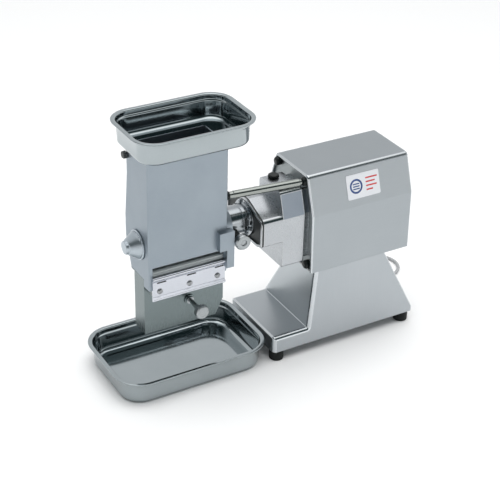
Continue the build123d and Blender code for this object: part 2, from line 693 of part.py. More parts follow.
bar("roller_bushes", [
    (CHUTE_X[0], INSIDE_X[0] - 0.3, 0, HUB_Z, 11.05, SHAFT_R + RUN_FIT),
    (-356.5, CHUTE_X[0] - 0.5, 0, HUB_Z, 11.9, SHAFT_R + RUN_FIT),
    (INSIDE_X[0] - 4.8, INSIDE_X[0] - 0.3, ROLLER_DISTANCE, HUB_Z, 11.05, SHAFT_R + RUN_FIT),
    (INSIDE_X[1] + 0.3, INSIDE_X[1] + 11.8, 0, HUB_Z, 11.05, SHAFT_R + RUN_FIT),
    (INSIDE_X[1] + 0.3, INSIDE_X[1] + 6.8, ROLLER_DISTANCE, HUB_Z, 11.05, SHAFT_R + RUN_FIT),
])

HUB_LINE = Plane(origin=place(0, 0, HUB_Z), x_dir=(1, 0, 0), z_dir=(0, -1, 0))
with BuildPart() as bearing_cap:
    with BuildSketch(HUB_LINE):
        with BuildLine():
            Polyline(
                (CHUTE_X[0] - 0.2, 12), (CHUTE_X[0] - 0.2, 30.5), (-340.5, 30.5), (-341.5, 27.5),
                (-361.5, 15.5), (-366, 10), (-367.2, 0), (-357, 0), (-357, 12), close=True,
            )
        make_face()
    revolve(axis=Axis(place(0, 0, HUB_Z), (1, 0, 0)))
finish(bearing_cap, "bearing_cap")


def blade_roller(name, y, shift):
    """A stack of round blades on a core, bored for its shaft."""
    with BuildPart() as node:
        with BuildSketch(across(INSIDE_X[0] + 1)):
            with Locations((y, HUB_Z)):
                Circle(DISC_CORE_R)
        extrude(amount=INSIDE_X[1] - INSIDE_X[0] - 13)
        for number in range(DISC_COUNT):
            with BuildSketch(across(DISC_START + shift + number * DISC_PITCH)):
                with Locations((y, HUB_Z)):
                    Circle(DISC_R)
            extrude(amount=DISC_WIDTH)
        with BuildSketch(across(INSIDE_X[0])):
            with Locations((y, HUB_Z)):
                Circle(SHAFT_R + 0.02)
        extrude(amount=160, mode=Mode.SUBTRACT)
    finish(node, name)


blade_roller("driven_blade_roller", 0, 0)
blade_roller("idle_blade_roller", ROLLER_DISTANCE, DISC_PITCH / 2)
gear("driven_roller_gear", -186.5, 9, 0, HUB_Z, ROLLER_TEETH, ROLLER_MODULE, 0, SHAFT_R + 0.02)
gear("idle_roller_gear", -186.5, 9, ROLLER_DISTANCE, HUB_Z, ROLLER_TEETH, ROLLER_MODULE, 0, SHAFT_R + 0.02)
bar("idle_roller_shaft", [(INSIDE_X[0] - 4.6, INSIDE_X[1] + 6.6, ROLLER_DISTANCE, HUB_Z, SHAFT_R, 0)])

with BuildPart() as driven_roller_shaft:
    with BuildSketch(across(-352)):
        with Locations((0, HUB_Z)):
            Circle(SHAFT_R)
    extrude(amount=232)
    with BuildSketch(across(-121)):
        with Locations((0, HUB_Z)):
            Rectangle(8.6, 13.4)
    extrude(amount=9)
finish(driven_roller_shaft, "driven_roller_shaft")

with BuildPart() as comb_bar:
    with BuildSketch(across(INSIDE_X[0] + 0.4)):
        with Locations((-34.2, 228)):
            Rectangle(20.2, 42)
        Polygon((-43.8, 246), (-43.8, 263), (-41.5, 266), (-24.1, 266), (-24.1, 246), align=None)
    extrude(amount=INSIDE_X[1] - INSIDE_X[0] - 0.8)
    for number in range(DISC_COUNT - 1):
        with BuildSketch(across(DISC_START + DISC_WIDTH + 1.4 + number * DISC_PITCH)):
            polygon([(-30, 248), (-24.2, 248), (-12, 290), (-12, 306), (-18, 306), (-26, 290)])
        extrude(amount=3)
    with BuildSketch(along(-44.4)):
        with Locations(*[(x, STRIP_SCREW_Z) for x in STRIP_SCREW_X]):
            Circle(2.6)
    extrude(amount=-14, mode=Mode.SUBTRACT)
finish(comb_bar, "comb_bar")

with BuildPart() as scraper_strip:
    with BuildSketch(across(-331)):
        polygon([
            (-44.6, 204), (-44.6, 251), (-46.5, 254), (-50, 253), (-51.5, 249), (-50.5, 244.5), (-48, 242.5),
            (-48, 209), (-51.5, 206), (-51.5, 203), (-48, 200), (-44.6, 200),
        ])
    extrude(amount=157)
    with BuildSketch(along(-40)):
        with Locations(*[(x, STRIP_SCREW_Z) for x in STRIP_SCREW_X]):
            Circle(3.0)
        with Locations(*[(x + 4, 240.2) for x in STRIP_SCREW_X]):
            SlotOverall(20, 2.4)
    extrude(amount=14, mode=Mode.SUBTRACT)
finish(scraper_strip, "scraper_strip")

with BuildPart() as strip_screws:
    for start, length, radius in ((-48.1, 3.2, 6.0), (-33, 15.3, 2.5)):
        with BuildSketch(along(start)):
            with Locations(*[(x, STRIP_SCREW_Z) for x in STRIP_SCREW_X]):
                Circle(radius)
        extrude(amount=length)
    fillet(strip_screws.faces().sort_by(Axis.Y)[:3].edges(), 2)
finish(strip_screws, "strip_screws")

SCREW_X, SCREW_Z = -239.5, 166.0
with BuildPart() as discharge_duct:
    with BuildSketch(level(DUCT_Z[0])):
        with Locations((sum(DUCT_X) / 2, sum(DUCT_Y) / 2)):
            Rectangle(DUCT_X[1] - DUCT_X[0], DUCT_Y[1] - DUCT_Y[0])
    extrude(amount=DUCT_Z[1] - DUCT_Z[0])
    with BuildSketch(level(DUCT_Z[1] - 3)):
        with Locations((sum(CHUTE_X) / 2, (DUCT_Y[0] + 33) / 2)):
            Rectangle(CHUTE_X[1] - CHUTE_X[0], 33 - DUCT_Y[0])
    extrude(amount=3)
    with BuildSketch(along(40)):
        polygon([(DUCT_X[1] + 1, 150), (DUCT_X[1] - 17, 112), (DUCT_X[1] + 1, 112)])
    extrude(amount=80, mode=Mode.SUBTRACT)
    with BuildSketch(along(DUCT_Y[0] + 4)):
        with Locations((SCREW_X, SCREW_Z)):
            Circle(11)
    extrude(amount=7)
    with BuildSketch(along(DUCT_Y[1] - 3)):
        polygon([
            (DUCT_X[0] + 3, 100), (DUCT_X[0] + 3, 250), (DUCT_X[1] - 3, 250), (DUCT_X[1] - 3, 150.6),
            (DUCT_X[1] - 24, 106), (DUCT_X[1] - 24, 100),
        ])
    extrude(amount=DUCT_Y[1] - DUCT_Y[0] - 6, mode=Mode.SUBTRACT)
    with BuildSketch(along(-12)):
        with Locations((SCREW_X, SCREW_Z)):
            Circle(3 + RUN_FIT)
    extrude(amount=20, mode=Mode.SUBTRACT)
finish(discharge_duct, "discharge_duct")

with BuildPart() as duct_thumbscrew:
    for start, length, radius in ((-16, 54, 3.0), (-68, 12, 14.5), (-60, 8, 8.0), (-26, 2.5, 8)):
        with BuildSketch(along(start)):
            with Locations((SCREW_X, SCREW_Z)):
                Circle(radius)
        extrude(amount=length)
finish(duct_thumbscrew, "duct_thumbscrew")

with BuildPart() as hub_lock_knob:
    for start, length, radius in ((-27, 24, 5.0), (-50, 14, 16.5)):
        with BuildSketch(along(start)):
            with Locations((LOCK_X, LOCK_Z)):
                Circle(radius)
        extrude(amount=length)
    fillet(hub_lock_knob.faces().sort_by(Axis.Y)[0].edges(), 4)
finish(hub_lock_knob, "hub_lock_knob")

with BuildPart() as tray_clip:
    with BuildSketch(across(CHUTE_X[0] - 0.2)):
        polygon([(35, 473), (35, 484), (45, 485), (48, 482), (48, 475), (45, 472)])
    extrude(amount=-8.5)
finish(tray_clip, "tray_clip")

# ---------------------------------------------------------------- trays


def tray(name, size, middle, bottom, opening=None):
    """A deep-drawn sheet tray with a flat rim; opening is a hole in its floor."""
    length, width, height, corner = size
    with BuildPart() as node:
        with BuildSketch(level(bottom)):
            with Locations(middle):
                RectangleRounded(length - 2 * RIM_WIDTH, width - 2 * RIM_WIDTH, corner - RIM_WIDTH)
        extrude(amount=height)
        fillet(node.faces().sort_by(Axis.Z)[0].edges(), 9)
        offset(amount=-TRAY_SHEET, openings=node.faces().sort_by(Axis.Z)[-1])
        with BuildSketch(level(bottom + height - 2)):
            with Locations(middle):
                RectangleRounded(length, width, corner)
                RectangleRounded(
                    length - 2 * (RIM_WIDTH + TRAY_SHEET), width - 2 * (RIM_WIDTH + TRAY_SHEET),
                    corner - RIM_WIDTH - TRAY_SHEET, mode=Mode.SUBTRACT,
                )
        extrude(amount=2)
        if opening:
            with BuildSketch(level(bottom - 1)):
                with Locations(opening[0]):
                    RectangleRounded(*opening[1], 9)
            extrude(amount=5, mode=Mode.SUBTRACT)
    finish(node, name)


tray("lower_tray", LOWER_TRAY, LOWER_TRAY_MIDDLE, 0)
tray(
    "upper_tray", UPPER_TRAY, UPPER_TRAY_MIDDLE, UPPER_TRAY_BOTTOM,
    ((sum(COLLAR_X) / 2, sum(COLLAR_Y) / 2), (COLLAR_X[1] - COLLAR_X[0] + 1, COLLAR_Y[1] - COLLAR_Y[0] + 1)),
)

# ---------------------------------------------------------------- mains lead

with BuildPart() as cable_gland:
    with BuildSketch(level(HOOD_BOTTOM - 6)):
        with Locations(GLAND):
            RegularPolygon(12, 6)
    extrude(amount=6)
    with BuildSketch(level(HOOD_BOTTOM - 18)):
        with Locations(GLAND):
            Circle(9.5)
    extrude(amount=12)
    with BuildSketch(level(HOOD_BOTTOM)):
        with Locations(GLAND):
            Circle(8)
    extrude(amount=7)
    with BuildSketch(level(HOOD_BOTTOM - 18)):
        with Locations(GLAND):
            Circle(7.5)
    extrude(amount=-(HOOD_BOTTOM - 18 - GLAND_END), taper=6)
finish(cable_gland, "cable_gland")

FLOOR = CORD_D / 2 + 0.1
CORD_ROUTE = [
    (226, 50, 149.9), (226, 50, 128), (236, 51.5, 104.5), (252, 54, 78), (268, 57, 55), (286, 61, 33),
    (307, 67, 15), (329, 74, FLOOR), (350, 81.5, FLOOR), (366.5, 96, FLOOR), (374, 116.7, FLOOR),
    (371, 138.5, FLOOR), (359, 157, FLOOR), (342, 170.5, FLOOR), (325, 180, FLOOR), (312.5, 186.4, FLOOR),
]


def arc_radii(route):
    """The largest tangent arc that each corner's two runs allow."""
    points = [Vector(*p) for p in route]
    radii = []
    for before, corner, after in zip(points, points[1:], points[2:]):
        inward, outward = corner - before, after - corner
        half_turn = radians(inward.get_angle(outward)) / 2
        radii.append(0.45 * min(inward.length, outward.length) / tan(half_turn))
    return radii


radii = arc_radii(CORD_ROUTE)
print("cord radii", [round(r) for r in radii])
with BuildPart() as cord_lead:
    with BuildLine() as cord_line:
        FilletPolyline(*[place(*p) for p in CORD_ROUTE], radius=radii)
    cord_path = cord_line.wire()
    with BuildSketch(Plane(origin=cord_path @ 0, z_dir=cord_path % 0)):
        Circle(CORD_D / 2)
    sweep(path=cord_path)
LEAD_LENGTH = cord_path.length
print("cord lead", LEAD_LENGTH, cord_lead.part.volume / (pi * CORD_D**2 / 4 * LEAD_LENGTH))
print("turns in the coil", (CORD_LENGTH - LEAD_LENGTH) / (2 * pi * COIL_RADIUS))
finish(cord_lead, "cord_lead")

with BuildPart() as cord_coil:
    with BuildSketch(Plane(origin=place(*COIL_MIDDLE, 0), x_dir=(1, 0, 0), z_dir=(0, -1, 0))):
        with Locations((COIL_RADIUS, CORD_D + 0.2)):
            RectangleRounded(3 * CORD_D, 2 * CORD_D + 0.2, CORD_D / 2)
    revolve(axis=Axis(place(*COIL_MIDDLE, 0), (0, 0, 1)))
finish(cord_coil, "cord_coil")

PLUG_Y, PLUG_Z = COIL_MIDDLE[1] + COIL_RADIUS, 18.5
with BuildPart() as cord_plug:
    for start, end, first, last in ((258, 240, 4.5, 7.5), (240, 214, 13, 18)):
        with BuildSketch(across(start)):
            with Locations((PLUG_Y, PLUG_Z)):
                Circle(first)
        with BuildSketch(across(end)):
            with Locations((PLUG_Y, PLUG_Z)):
                Circle(last)
        loft()
    with BuildSketch(across(214)):
        with Locations((PLUG_Y, PLUG_Z)):
            Circle(18)
    extrude(amount=-12)
    with BuildSketch(across(202)):
        with Locations((PLUG_Y, PLUG_Z)):
            with GridLocations(0, 19, 1, 2):
                Circle(2.4)
    extrude(amount=-19)
finish(cord_plug, "cord_plug")
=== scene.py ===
import math

import bmesh
import bpy
from mathutils import Matrix, Vector


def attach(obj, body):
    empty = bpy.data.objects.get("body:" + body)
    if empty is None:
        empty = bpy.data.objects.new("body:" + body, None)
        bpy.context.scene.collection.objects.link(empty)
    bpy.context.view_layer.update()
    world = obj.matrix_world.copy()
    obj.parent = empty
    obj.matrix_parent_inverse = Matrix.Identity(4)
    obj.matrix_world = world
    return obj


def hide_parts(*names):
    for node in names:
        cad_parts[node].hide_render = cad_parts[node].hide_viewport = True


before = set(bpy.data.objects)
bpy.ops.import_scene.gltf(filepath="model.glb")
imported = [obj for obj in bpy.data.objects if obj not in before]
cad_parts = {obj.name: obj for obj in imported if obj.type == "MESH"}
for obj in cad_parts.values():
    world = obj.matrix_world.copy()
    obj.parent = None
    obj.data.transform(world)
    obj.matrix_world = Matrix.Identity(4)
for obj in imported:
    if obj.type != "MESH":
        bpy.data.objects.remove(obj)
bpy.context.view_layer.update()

# Distances below are in millimetres from the motor hood's open front (x), the drive hub's axis (y)
# and the table (z), as in the CAD source; at() turns them into the row frame in metres.
FRONT_X, HUB_Y, HUB_Z = 76.0, -12.0, 306.0
X, Y, Z = Vector((1, 0, 0)), Vector((0, 1, 0)), Vector((0, 0, 1))

# Sizes and places that more than one piece uses.
HOOD_BOTTOM, HOOD_LENGTH, HOOD_SHEET = 192.3, 240, 1.9
BASE_HALF, TOE_TOP = 90, 60
LEAN_RISE, LEAN_RUN = 132.0, 75.0  # the pedestal's far wall, above the toe
LABEL_X, LABEL_Z = 124, 357
INK_LOW, INK_HIGH = 0.68, 0.80
SWITCH_X, SWITCH_Z = 95, 122
BUTTON_U, BUTTON_WELL = 17, 11.3
LOCK = (-141, 0, 288)
BOLT_CIRCLE = 33.2
OIL_PLUG = (-37, 6, 0)
GLAND_X, GLAND_Y = 226, 50
PLUG_Y, PLUG_Z = 188, 18.8


def at(x, y, z):
    """A place in the row frame, in metres, from millimetres in the script's own frame."""
    return Vector(((FRONT_X + x) / 1000, (HUB_Y + y) / 1000, z / 1000))


def along_x(d, u, v):
    return at(d, u, v)


def along_y(d, u, v):
    return at(u, d, v)


def along_z(d, u, v):
    return at(u, v, d)


# ---------------------------------------------------------------- outlines


def rounded(points, radii, steps=6, closed=True):
    """An outline with rounded corners. The count of points doesn't depend on the radii."""
    points = [Vector(p) for p in points]
    radii = radii if isinstance(radii, (list, tuple)) else [radii] * len(points)
    result = []
    for i, corner in enumerate(points):
        if not closed and i in (0, len(points) - 1):
            result.append(corner)
            continue
        before, after = points[i - 1], points[(i + 1) % len(points)]
        u, v = (before - corner), (after - corner)
        room = 0.49 * min(u.length, v.length)
        u.normalize()
        v.normalize()
        half = math.acos(max(-1.0, min(1.0, u.dot(v)))) / 2
        if half > math.pi / 2 - 1e-3:
            result += [corner.copy() for _ in range(steps + 1)]
            continue
        reach = min(max(radii[i], 0.02) / math.tan(half), room)
        r = reach * math.tan(half)
        centre = corner + (u + v).normalized() * (r / math.sin(half))
        a, b = corner + u * reach - centre, corner + v * reach - centre
        first = math.atan2(a.y, a.x)
        turn = (math.atan2(b.y, b.x) - first + math.pi) % (2 * math.pi) - math.pi
        for k in range(steps + 1):
            angle = first + turn * k / steps
            result.append(centre + Vector((math.cos(angle), math.sin(angle))) * r)
    return result


def inset(points, d):
    """The polygon with each side moved in by d, which may be a list with a distance for each side."""
    points = [Vector(p) for p in points]
    gaps = d if isinstance(d, (list, tuple)) else [d] * len(points)
    area = sum(a.x * b.y - b.x * a.y for a, b in zip(points, points[1:] + points[:1]))
    sign = 1 if area > 0 else -1
    lines = []
    for a, b, gap in zip(points, points[1:] + points[:1], gaps):
        side = (b - a).normalized()
        normal = Vector((-side.y, side.x)) * sign
        lines.append((a + normal * gap, side))
    result = []
    for (p, u), (q, v) in zip(lines[-1:] + lines[:-1], lines):
        cross = u.x * v.y - u.y * v.x
        t = ((q - p).x * v.y - (q - p).y * v.x) / cross
        result.append(p + u * t)
    return result


def circle(x, y, r, count):
    angles = (2 * math.pi * k / count for k in range(count))
    return [(x + r * math.cos(a), y + r * math.sin(a)) for a in angles]


def quarter(steps):
    """Cosines and sines over a quarter turn, for rounding an edge in that many steps."""
    angles = (math.pi / 2 * k / steps for k in range(steps + 1))
    return [(math.cos(a), math.sin(a)) for a in angles]


# ---------------------------------------------------------------- mesh building


def skin(bm, loops, closed=True, caps=(True, True), round_trip=False):
    """Joins loops with the same count of points, one to the next, and caps the ends."""
    rows = [[bm.verts.new(p) for p in loop] for loop in loops]
    pairs = list(zip(rows, rows[1:])) + ([(rows[-1], rows[0])] if round_trip else [])
    for lower, upper in pairs:
        count = len(lower)
        for i in range(count if closed else count - 1):
            j = (i + 1) % count
            bm.faces.new((lower[i], lower[j], upper[j], upper[i]))
    if caps[0] and not round_trip:
        bm.faces.new(rows[0][::-1])
    if caps[1] and not round_trip:
        bm.faces.new(rows[-1])


def block(bm, outline, radii, to3d, start, end, edge=1.0, steps=5, edge_steps=3, far_edge=None):
    """A prism along to3d's first argument, with rounded corners and rounded end edges."""
    way = 1 if end > start else -1
    far_edge = edge if far_edge is None else far_edge
    radii = radii if isinstance(radii, (list, tuple)) else [radii] * len(outline)
    stations = [(start + way * edge * (1 - c), edge * (1 - s)) for c, s in quarter(edge_steps)]
    stations += [(end - way * far_edge * (1 - s), far_edge * (1 - c)) for c, s in quarter(edge_steps)]
    loops = []
    for d, gap in stations:
        shape = rounded(inset(outline, gap), [max(r - gap, 0.05) for r in radii], steps)
        loops.append([to3d(d, p.x, p.y) for p in shape])
    skin(bm, loops)


def lathe(bm, profile, origin, axis, segments=64, radius=0.5, steps=3, ring=False):
    """Revolves (along, radius) pairs in mm about axis through origin, in metres."""
    axis = Vector(axis).normalized()
    side = axis.orthogonal().normalized()
    up = axis.cross(side)
    shape = rounded(profile, radius, steps, closed=ring)
    loops = []
    for p in shape:
        r = max(p.y, 0.004) / 1000
        centre = origin + axis * (p.x / 1000)
        loops.append([
            centre + (side * math.cos(a) + up * math.sin(a)) * r
            for a in (2 * math.pi * k / segments for k in range(segments))
        ])
    skin(bm, loops, round_trip=ring)


def knurl(bm, origin, axis, start, end, radius, teeth, depth):
    """A knurled or scalloped band as a prism of many shallow teeth."""
    axis = Vector(axis).normalized()
    side = axis.orthogonal().normalized()
    up = axis.cross(side)
    count = teeth * 4
    loops = []
    for d, inner in ((start, 0.8), (start + 0.8, 0), (end - 0.8, 0), (end, 0.8)):
        loop = []
        for k in range(count):
            a = 2 * math.pi * k / count
            r = radius - inner - depth * (0.5 - 0.5 * math.cos(a * teeth))
            loop.append(origin + axis * (d / 1000) + (side * math.cos(a) + up * math.sin(a)) * (r / 1000))
        loops.append(loop)
    skin(bm, loops)


def paint_bend_highlights(bm, flats, limit=14.0):
    """Gives every face that isn't parallel to one of the flat sides the second material, which paints a
    highlight on the bends.
    """
    bmesh.ops.recalc_face_normals(bm, faces=bm.faces[:])
    flats = [Vector(n).normalized() for n in flats]
    least = math.cos(math.radians(limit))
    for face in bm.faces:
        face.material_index = 0 if max(face.normal.dot(n) for n in flats) > least else 1


def mesh_object(name, bm):
    mesh = bpy.data.meshes.new(name)
    bm.to_mesh(mesh)
    bm.free()
    obj = bpy.data.objects.new(name, mesh)
    bpy.context.scene.collection.objects.link(obj)
    return obj


def piece(name, bm, material, body, nodes=(), sharp=34, weighted=True):
    """Turns bm into an object on body that stands for the given CAD nodes."""
    bmesh.ops.remove_doubles(bm, verts=bm.verts[:], dist=2e-6)
    bmesh.ops.dissolve_degenerate(bm, edges=bm.edges[:], dist=1e-6)
    bmesh.ops.recalc_face_normals(bm, faces=bm.faces[:])
    for face in bm.faces:
        face.smooth = True
    limit = math.radians(sharp)
    for e in bm.edges:
        e.smooth = len(e.link_faces) != 2 or e.calc_face_angle(0) < limit
    obj = mesh_object(name, bm)
    for one in material if isinstance(material, list) else [material]:
        obj.data.materials.append(one)
    if weighted:
        modifier = obj.modifiers.new("even_normals", "WEIGHTED_NORMAL")
        modifier.keep_sharp = True
        modifier.weight = 80
    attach(obj, body)
    if nodes:
        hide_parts(*nodes)
    return obj


def cut(obj, bm, name):
    """Cuts a closed shape out of obj, and applies it."""
    bmesh.ops.recalc_face_normals(bm, faces=bm.faces[:])
    cutter = mesh_object(name, bm)
    modifier = obj.modifiers.new("cut", "BOOLEAN")
    modifier.operation = "DIFFERENCE"
    modifier.solver = "EXACT"
    modifier.object = cutter
    depsgraph = bpy.context.evaluated_depsgraph_get()
    result = bpy.data.meshes.new_from_object(obj.evaluated_get(depsgraph))
    obj.modifiers.clear()
    obj.data = result
    bpy.data.objects.remove(cutter)


# ---------------------------------------------------------------- materials

# How a grain is stretched: not at all, or into fine lines along one axis.
EVEN, LINES_X, LINES_Y, LINES_Z = (1, 1, 1), (0.03, 1, 1), (1, 0.03, 1), (1, 1, 0.03)


def nodes_of(name):
    material = bpy.data.materials.new(name)
    material.use_nodes = True
    tree = material.node_tree
    shader = tree.nodes["Principled BSDF"]
    coords = tree.nodes.new("ShaderNodeTexCoord")
    return material, tree, shader, coords


def noise(tree, coords, scale, stretch=(1, 1, 1), detail=6.0, rough=0.55):
    mapping = tree.nodes.new("ShaderNodeMapping")
    mapping.inputs["Scale"].default_value = stretch
    tree.links.new(coords.outputs["Object"], mapping.inputs["Vector"])
    texture = tree.nodes.new("ShaderNodeTexNoise")
    texture.inputs["Scale"].default_value = scale
    texture.inputs["Detail"].default_value = detail
    texture.inputs["Roughness"].default_value = rough
    tree.links.new(mapping.outputs["Vector"], texture.inputs["Vector"])
    return texture.outputs["Fac"]


def spread(tree, value, low, high):
    """A number from low to high, as value goes through the middle of its range."""
    node = tree.nodes.new("ShaderNodeMapRange")
    node.inputs["From Min"].default_value = 0.3
    node.inputs["From Max"].default_value = 0.7
    node.inputs["To Min"].default_value = low
    node.inputs["To Max"].default_value = high
    tree.links.new(value, node.inputs["Value"])
    return node.outputs["Result"]


def shade(tree, value, dark, light, ends=(0.3, 0.7)):
    """A colour from dark to light, as value goes from one end to the other."""
    ramp = tree.nodes.new("ShaderNodeValToRGB")
    ramp.color_ramp.elements[0].position = ends[0]
    ramp.color_ramp.elements[0].color = (*dark, 1)
    ramp.color_ramp.elements[1].position = ends[1]
    ramp.color_ramp.elements[1].color = (*light, 1)
    tree.links.new(value, ramp.inputs["Fac"])
    return ramp.outputs["Color"]


def bump(tree, shader, value, strength, distance):
    node = tree.nodes.new("ShaderNodeBump")
    node.inputs["Strength"].default_value = strength
    node.inputs["Distance"].default_value = distance
    tree.links.new(value, node.inputs["Height"])
    tree.links.new(node.outputs["Normal"], shader.inputs["Normal"])


def brushed(name, dark, light, rough, stretch, grain=900.0, height=0.00002, strength=0.25):
    """Metal with a fine directional grain and faint cloudy variation."""
    material, tree, shader, coords = nodes_of(name)
    shader.inputs["Metallic"].default_value = 1.0
    fine = noise(tree, coords, grain, stretch, 3.0, 0.7)
    cloud = noise(tree, coords, 9.0, EVEN, 4.0)
    mix = tree.nodes.new("ShaderNodeMath")
    mix.operation = "MULTIPLY_ADD"
    mix.inputs[1].default_value = 0.45
    tree.links.new(fine, mix.inputs[0])
    half = tree.nodes.new("ShaderNodeMath")
    half.operation = "MULTIPLY"
    half.inputs[1].default_value = 0.55
    tree.links.new(cloud, half.inputs[0])
    tree.links.new(half.outputs[0], mix.inputs[2])
    tree.links.new(shade(tree, mix.outputs[0], dark, light), shader.inputs["Base Color"])
    tree.links.new(spread(tree, mix.outputs[0], rough[0], rough[1]), shader.inputs["Roughness"])
    bump(tree, shader, fine, strength, height)
    return material


def cast(name, dark, light, rough, height=0.00012, grain=700.0):
    """Blasted or cast metal: a fine, even grain and soft blotches."""
    material, tree, shader, coords = nodes_of(name)
    shader.inputs["Metallic"].default_value = 1.0
    fine = noise(tree, coords, grain, EVEN, 4.0, 0.65)
    cloud = noise(tree, coords, 14.0, EVEN, 5.0)
    tree.links.new(shade(tree, cloud, dark, light), shader.inputs["Base Color"])
    tree.links.new(spread(tree, fine, rough[0], rough[1]), shader.inputs["Roughness"])
    bump(tree, shader, fine, 0.35, height)
    return material


def moulded(name, dark, light, rough, height=0.00006, coat=0.0, gloss=0.5):
    """Plastic or rubber with a fine moulded texture and slight scuffing."""
    material, tree, shader, coords = nodes_of(name)
    fine = noise(tree, coords, 1200.0, EVEN, 2.0)
    scuff = noise(tree, coords, 60.0, EVEN, 8.0, 0.7)
    tree.links.new(shade(tree, scuff, dark, light, (0.35, 0.75)), shader.inputs["Base Color"])
    tree.links.new(spread(tree, scuff, rough[0], rough[1]), shader.inputs["Roughness"])
    shader.inputs["Coat Weight"].default_value = coat
    shader.inputs["Specular IOR Level"].default_value = gloss
    bump(tree, shader, fine, 0.3, height)
    return material


# Sheet steel, whose bends are painted brighter than its flat sides: a painted highlight.
HOOD_STEEL = brushed("hood_steel", (0.365, 0.395, 0.415), (0.400, 0.430, 0.450), (0.33, 0.39), LINES_X)
BASE_STEEL = brushed("base_steel", (0.410, 0.440, 0.462), (0.450, 0.478, 0.500), (0.30, 0.36), LINES_Z)
# A lighter copy of the base steel with its grain running across: painted light on the pedestal's front.
FRONT_STEEL_LIT = brushed("front_steel_painted_light", (0.490, 0.525, 0.545), (0.530, 0.565, 0.585), (0.30, 0.36), LINES_Y)
BEND_HIGHLIGHT_STEEL = brushed(
    "bend_steel_painted_highlight", (0.56, 0.59, 0.61), (0.62, 0.65, 0.67), (0.14, 0.20), EVEN, 900, 0.00001, 0.1
)
TRAY_STEEL = brushed(
    "tray_steel", (0.36, 0.40, 0.415), (0.42, 0.46, 0.475), (0.07, 0.12), EVEN, 500, 0.00001, 0.15
)
# The duct's steel is darkened: painted shade under the chute.
DUCT_STEEL_SHADE = brushed("duct_steel_painted_shade", (0.185, 0.222, 0.226), (0.200, 0.238, 0.242), (0.24, 0.29), LINES_Z)
STRIP_STEEL = brushed("strip_steel", (0.55, 0.57, 0.62), (0.63, 0.65, 0.70), (0.16, 0.24), LINES_X)
FOIL = brushed("label_foil", (0.66, 0.68, 0.71), (0.76, 0.78, 0.81), (0.30, 0.40), (0.05, 1, 1))

# Turned and drawn steel.
BRIGHT = brushed(
    "bright_steel", (0.56, 0.585, 0.61), (0.66, 0.69, 0.71), (0.10, 0.17), EVEN, 700, 0.00001, 0.1
)
SATIN = brushed(
    "satin_turned", (0.33, 0.355, 0.365), (0.43, 0.455, 0.465), (0.24, 0.32), EVEN, 900, 0.00001, 0.1
)
HUB_STEEL = brushed(
    "hub_steel", (0.33, 0.355, 0.375), (0.42, 0.445, 0.465), (0.12, 0.20), EVEN, 900, 0.00001, 0.1
)
ROD_STEEL = brushed("rod_steel", (0.28, 0.30, 0.28), (0.38, 0.40, 0.38), (0.12, 0.20), (0.05, 1, 1))
PLAIN_STEEL = brushed("plain_steel", (0.30, 0.31, 0.32), (0.42, 0.43, 0.44), (0.22, 0.34), EVEN, 1500)

# Cast and blasted metal.
CHUTE_METAL = cast("chute_metal", (0.300, 0.345, 0.385), (0.330, 0.375, 0.415), (0.38, 0.46), 0.00008)
CASE_METAL = cast("case_metal", (0.43, 0.45, 0.47), (0.48, 0.50, 0.52), (0.25, 0.32), 0.00008, 420)
# A lighter, glossier copy of the case metal: a painted highlight on the case's and cover's bends.
CASE_BEND_HIGHLIGHT = cast("case_bend_painted_highlight", (0.52, 0.54, 0.55), (0.58, 0.60, 0.61), (0.12, 0.17), 0.00004, 420)
# A darker copy of the case metal: painted shade on the case's near slanted face.
CASE_FLANK_SHADE = cast("case_flank_painted_shade", (0.225, 0.258, 0.298), (0.250, 0.285, 0.325), (0.28, 0.36), 0.00008, 420)
CAP_METAL = cast("cap_metal", (0.42, 0.47, 0.51), (0.46, 0.51, 0.55), (0.30, 0.38), 0.00006)
PLATE_METAL = cast("plate_metal", (0.34, 0.37, 0.375), (0.40, 0.43, 0.435), (0.44, 0.54))
# Dark steel, which also serves as painted shade in the cover's recess and the strip's slots.
DARK_STEEL_AND_SHADE = cast("dark_steel_and_painted_shade", (0.05, 0.055, 0.055), (0.10, 0.105, 0.105), (0.40, 0.55))
BRONZE = brushed("bronze", (0.42, 0.27, 0.11), (0.55, 0.38, 0.17), (0.25, 0.40), EVEN, 1200)
COPPER = brushed("copper", (0.36, 0.13, 0.05), (0.55, 0.24, 0.10), (0.30, 0.45), EVEN, 1600, 0.0001)

# Plastic, rubber and ink.
BLACK_PLASTIC = moulded(
    "black_plastic", (0.002, 0.004, 0.004), (0.006, 0.010, 0.010), (0.26, 0.38), gloss=0.3
)
RUBBER = moulded(
    "black_rubber", (0.002, 0.004, 0.004), (0.008, 0.011, 0.011), (0.50, 0.65), 0.0001, gloss=0.25
)
GREY_PLASTIC = moulded("grey_plastic", (0.30, 0.31, 0.32), (0.38, 0.39, 0.40), (0.40, 0.55))
CORD_SHEATH = moulded("cord_sheath", (0.34, 0.35, 0.36), (0.44, 0.45, 0.46), (0.45, 0.60))
GREEN = moulded("green_plastic", (0.010, 0.20, 0.05), (0.02, 0.30, 0.08), (0.22, 0.35), coat=0.4)
RED = moulded("red_plastic", (0.42, 0.012, 0.012), (0.60, 0.025, 0.02), (0.22, 0.35), coat=0.4)
BLUE_INK = moulded("blue_ink", (0.012, 0.045, 0.17), (0.03, 0.08, 0.26), (0.35, 0.5))
RED_INK = moulded("red_ink", (0.50, 0.03, 0.03), (0.62, 0.06, 0.05), (0.35, 0.5))

# ---------------------------------------------------------------- trays


